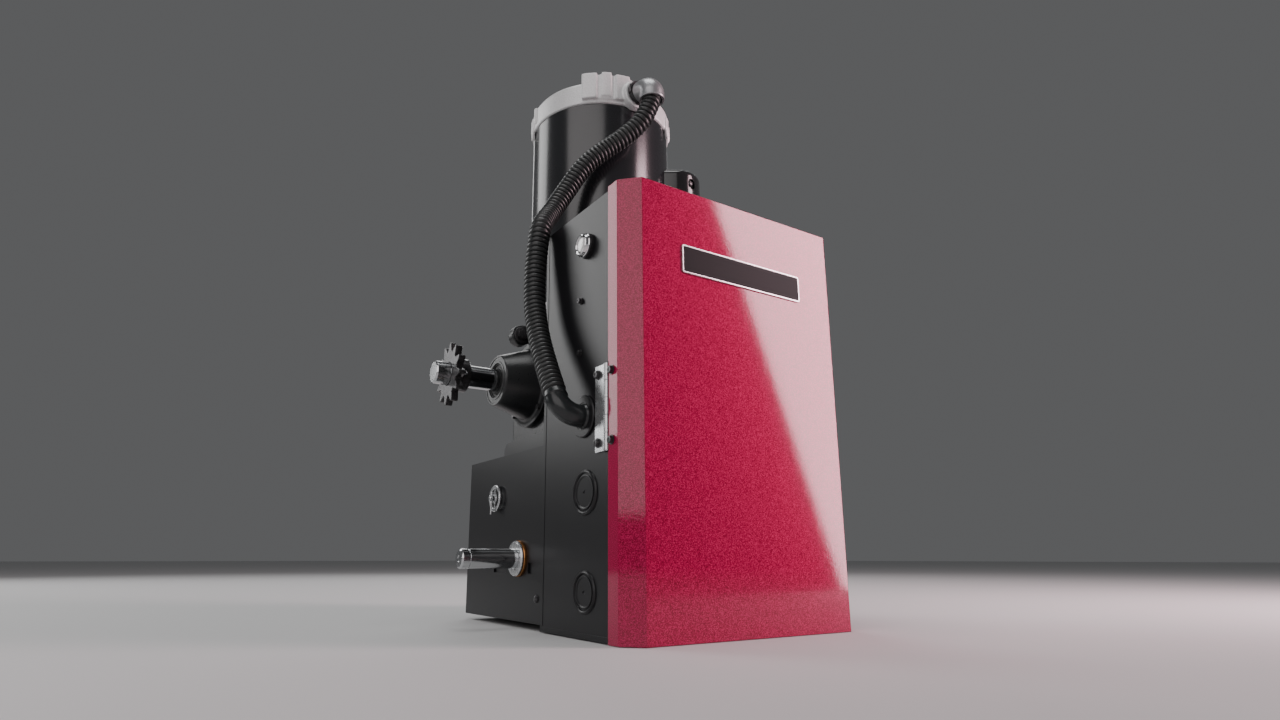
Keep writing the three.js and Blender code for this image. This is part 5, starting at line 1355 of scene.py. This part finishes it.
for i, (x, y) in enumerate(bolt_places):
    bolt = soften(rod("base_bolt_" + str(i), "z", (x, y, base_high[2]), 5, 6.4, sides=6), 0.6)
    washer = soften(rod("washer", "z", (x, y, base_high[2]), 1.4, 8.4, sides=48), 0.3)
    dress(joined(bolt, washer), black_steel, "opener", "black_steel")

# ---------------------------------------------------------------------------------------------
# Lower housing. Folded sheet, open at the front where it meets the control box, powder coated
# black. Slots clear the side plates above; its left side has adjustment slots and a small screw.
# ---------------------------------------------------------------------------------------------

lower = opened(brick("lower_sheet_housing", housing_low, housing_high), "y", -1, sheet)
tools = []
for side in (-1, 1):
    low, high = corners("side_plate_left" if side < 0 else "side_plate_right")
    tools.append(brick("slot", (low[0] - 0.3, housing_low[1] - 1, housing_high[2] - 3),
                       (high[0] + 0.3, low[1] + front_depth + 2, housing_high[2] + 1)))
    start = housing_low[0] - 1 if side < 0 else housing_high[0] - 3
    tools.append(rod("bush_hole", "x", (start, hoist_y, hoist_z), 4, bush_hole))
    tools.append(rod("pin_hole", "x", (start, release_y, release_z), 4, pin_hole, sides=32))
slot_foot = hoist_z - 14
for slot_front, slot_back, tall in ((-168.4, -159.8, 10), (-151, -141, 10), (-109.8, -79.6, 4)):
    tools.append(brick("slot", (housing_low[0] - 1, slot_front, slot_foot),
                       (housing_low[0] + 3, slot_back, slot_foot + tall)))
cut(lower, *tools)
soften(lower, 0.8, 3)
dress(lower, black_paint, "opener", "black_paint", "lower_housing")
foot_y, foot_z = -179.3, -141.4
foot_screw = turned("housing_foot_screw", "x", (0, foot_y, foot_z), [
    (0, housing_low[0] - 2.2), (2, housing_low[0] - 2.1), (3.4, housing_low[0] - 1.2),
    (3.7, housing_low[0] - 0.1), (0, housing_low[0] - 0.1)], 40)
cut(foot_screw, brick("slot", (housing_low[0] - 3, foot_y - 4.2, foot_z - 0.4),
                      (housing_low[0] - 1.5, foot_y + 4.3, foot_z + 0.4)))
shade(foot_screw, 35)
dress(foot_screw, black_steel, "opener", "black_steel")

# ---------------------------------------------------------------------------------------------
# Hoist shaft through the lower housing. Ground steel with a clip groove near its end, turning in
# two flanged bronze bushes; a plated washer stands against the left one.
# ---------------------------------------------------------------------------------------------

bronze = finish("bronze", (0.42, 0.19, 0.07), 0.3, metal=0.95, mottle=0.3, mottle_size=7 * mm, spread=0.1,
                grain=0.02 * mm, grain_size=0.6 * mm)
hoist_at = (0, hoist_y, hoist_z)
hoist_low, hoist_high = corners("hoist_shaft")
r = (hoist_high[2] - hoist_low[2]) / 2
end = hoist_low[0]
hoist = turned("hoist_cross_shaft", "x", hoist_at, [
    (0, end + 0.5), (r * 0.28, end + 0.4), (r * 0.34, end), (r - 1.6, end), (r - 0.3, end + 1),
    (r, end + 1.5), (r, end + 6.9), (r - 0.9, end + 7), (r - 0.9, end + 9), (r, end + 9.1),
    (r, hoist_high[0] - 1), (r - 1, hoist_high[0]), (0, hoist_high[0])], 96)
shade(hoist, 28)
dress(hoist, ground_steel, "hoist", "steel", "hoist_shaft")
for side, name in ((-1, "left"), (1, "right")):
    low, high = corners("hoist_bushing_" + name)
    outer, wall_side, tail = (low[0], low[0] + 3, high[0]) if side < 0 else (high[0], high[0] - 3, low[0])
    step = 1 if side < 0 else -1
    bush = turned("bronze_bush_" + name, "x", hoist_at, [
        (r + 0.3, outer + 0.6 * step), (r + 0.9, outer), (15.6, outer), (16.3, outer + 0.5 * step),
        (17.1, outer + 0.5 * step), (17.6, outer + 1.1 * step), (17.6, wall_side), (13, wall_side),
        (13, tail), (r + 0.3, tail), (r + 0.3, outer + 0.6 * step)], 96)
    shade(bush, 28)
    dress(bush, bronze, "opener", "bronze", "hoist_bushing_" + name)
washer_low, washer_high = corners("thrust_washer")
thrust = turned("plated_thrust_washer", "x", hoist_at, [
    (r + 0.3, washer_low[0] + 0.3), (r + 1.2, washer_low[0]), (15.4, washer_low[0]),
    (15.9, washer_low[0] + 0.5), (16.6, washer_low[0] + 0.5), (17, washer_low[0] + 1), (17, washer_high[0]),
    (r + 0.3, washer_high[0]), (r + 0.3, washer_low[0] + 0.3)], 96)
shade(thrust, 28)
dress(thrust, zinc, "hoist", "zinc", "thrust_washer")

# ---------------------------------------------------------------------------------------------
# Release pin and its pull ring. A steel pin that slides in the side plate, and a flat plated ring
# on it whose bent wire leg hangs down through the pin's end.
# ---------------------------------------------------------------------------------------------

pin_low, pin_high = corners("release_pin")
ring_low, ring_high = corners("release_ring")
release_at = (0, release_y, release_z)
pin_r = 3.2
collar_start, collar_end, collar_radius = -108.1, -104.1, 7
slider = turned("release_sliding_pin", "x", release_at, [
    (0, pin_low[0]), (pin_r - 0.8, pin_low[0]), (pin_r, pin_low[0] + 0.8), (pin_r, collar_start),
    (collar_radius, collar_start), (collar_radius, collar_end), (pin_r, collar_end),
    (pin_r, pin_high[0] - 0.5), (pin_r - 0.5, pin_high[0]), (0, pin_high[0])], 48)
shade(slider, 30)
dress(slider, ground_steel, "release", "steel", "release_pin")
ring_middle = (ring_low[0] + ring_high[0]) / 2
pull = turned("release_pull_ring", "x", release_at, [
    (10.4, ring_middle - 0.5), (10.9, ring_middle - 1), (13.5, ring_middle - 1), (14.1, ring_middle - 0.5),
    (14.1, ring_middle + 0.5), (13.5, ring_middle + 1), (10.9, ring_middle + 1), (10.4, ring_middle + 0.5),
    (10.4, ring_middle - 0.5)], 80)
shade(pull, 30)
leg_x = pin_low[0] + 3
leg = rod("leg", "z", (leg_x, release_y, release_z - 17), 23, 1.1, sides=20)
foot = rod("foot", "x", (leg_x, release_y, release_z + 5.4), ring_middle - leg_x + 0.5, 1.1, sides=20)
keeper = rod("keeper", "x", (ring_middle - 0.6, release_y, release_z), 1.2, 5.4, sides=48)
spokes = brick("spoke", (ring_middle - 0.5, release_y - 1.4, release_z - 11),
               (ring_middle + 0.5, release_y + 1.4, release_z + 11))
joined(pull, soften(leg, 0.3), soften(foot, 0.3), soften(keeper, 0.3), soften(spokes, 0.3))
dress(pull, zinc, "release", "zinc", "release_ring")

# ---------------------------------------------------------------------------------------------
# Working parts inside the motor, reducer and housing, which keep the shapes of the model: rotor,
# windings, bearings, worm and wheel, capacitor and the hoist chain's sprocket.
# ---------------------------------------------------------------------------------------------

for node, paint in (("rotor", laminations), ("stator", copper), ("worm_shaft", ground_steel),
                    ("worm_wheel", bronze), ("lower_motor_bearing", ground_steel),
                    ("upper_motor_bearing", ground_steel), ("output_bearing_left", ground_steel),
                    ("output_bearing_right", ground_steel), ("capacitor", grey_plastic),
                    ("hoist_sprocket", ground_steel)):
    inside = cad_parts[node]
    if not inside.material_slots:
        inside.data.materials.append(paint)
    for held in inside.material_slots:
        held.material = paint
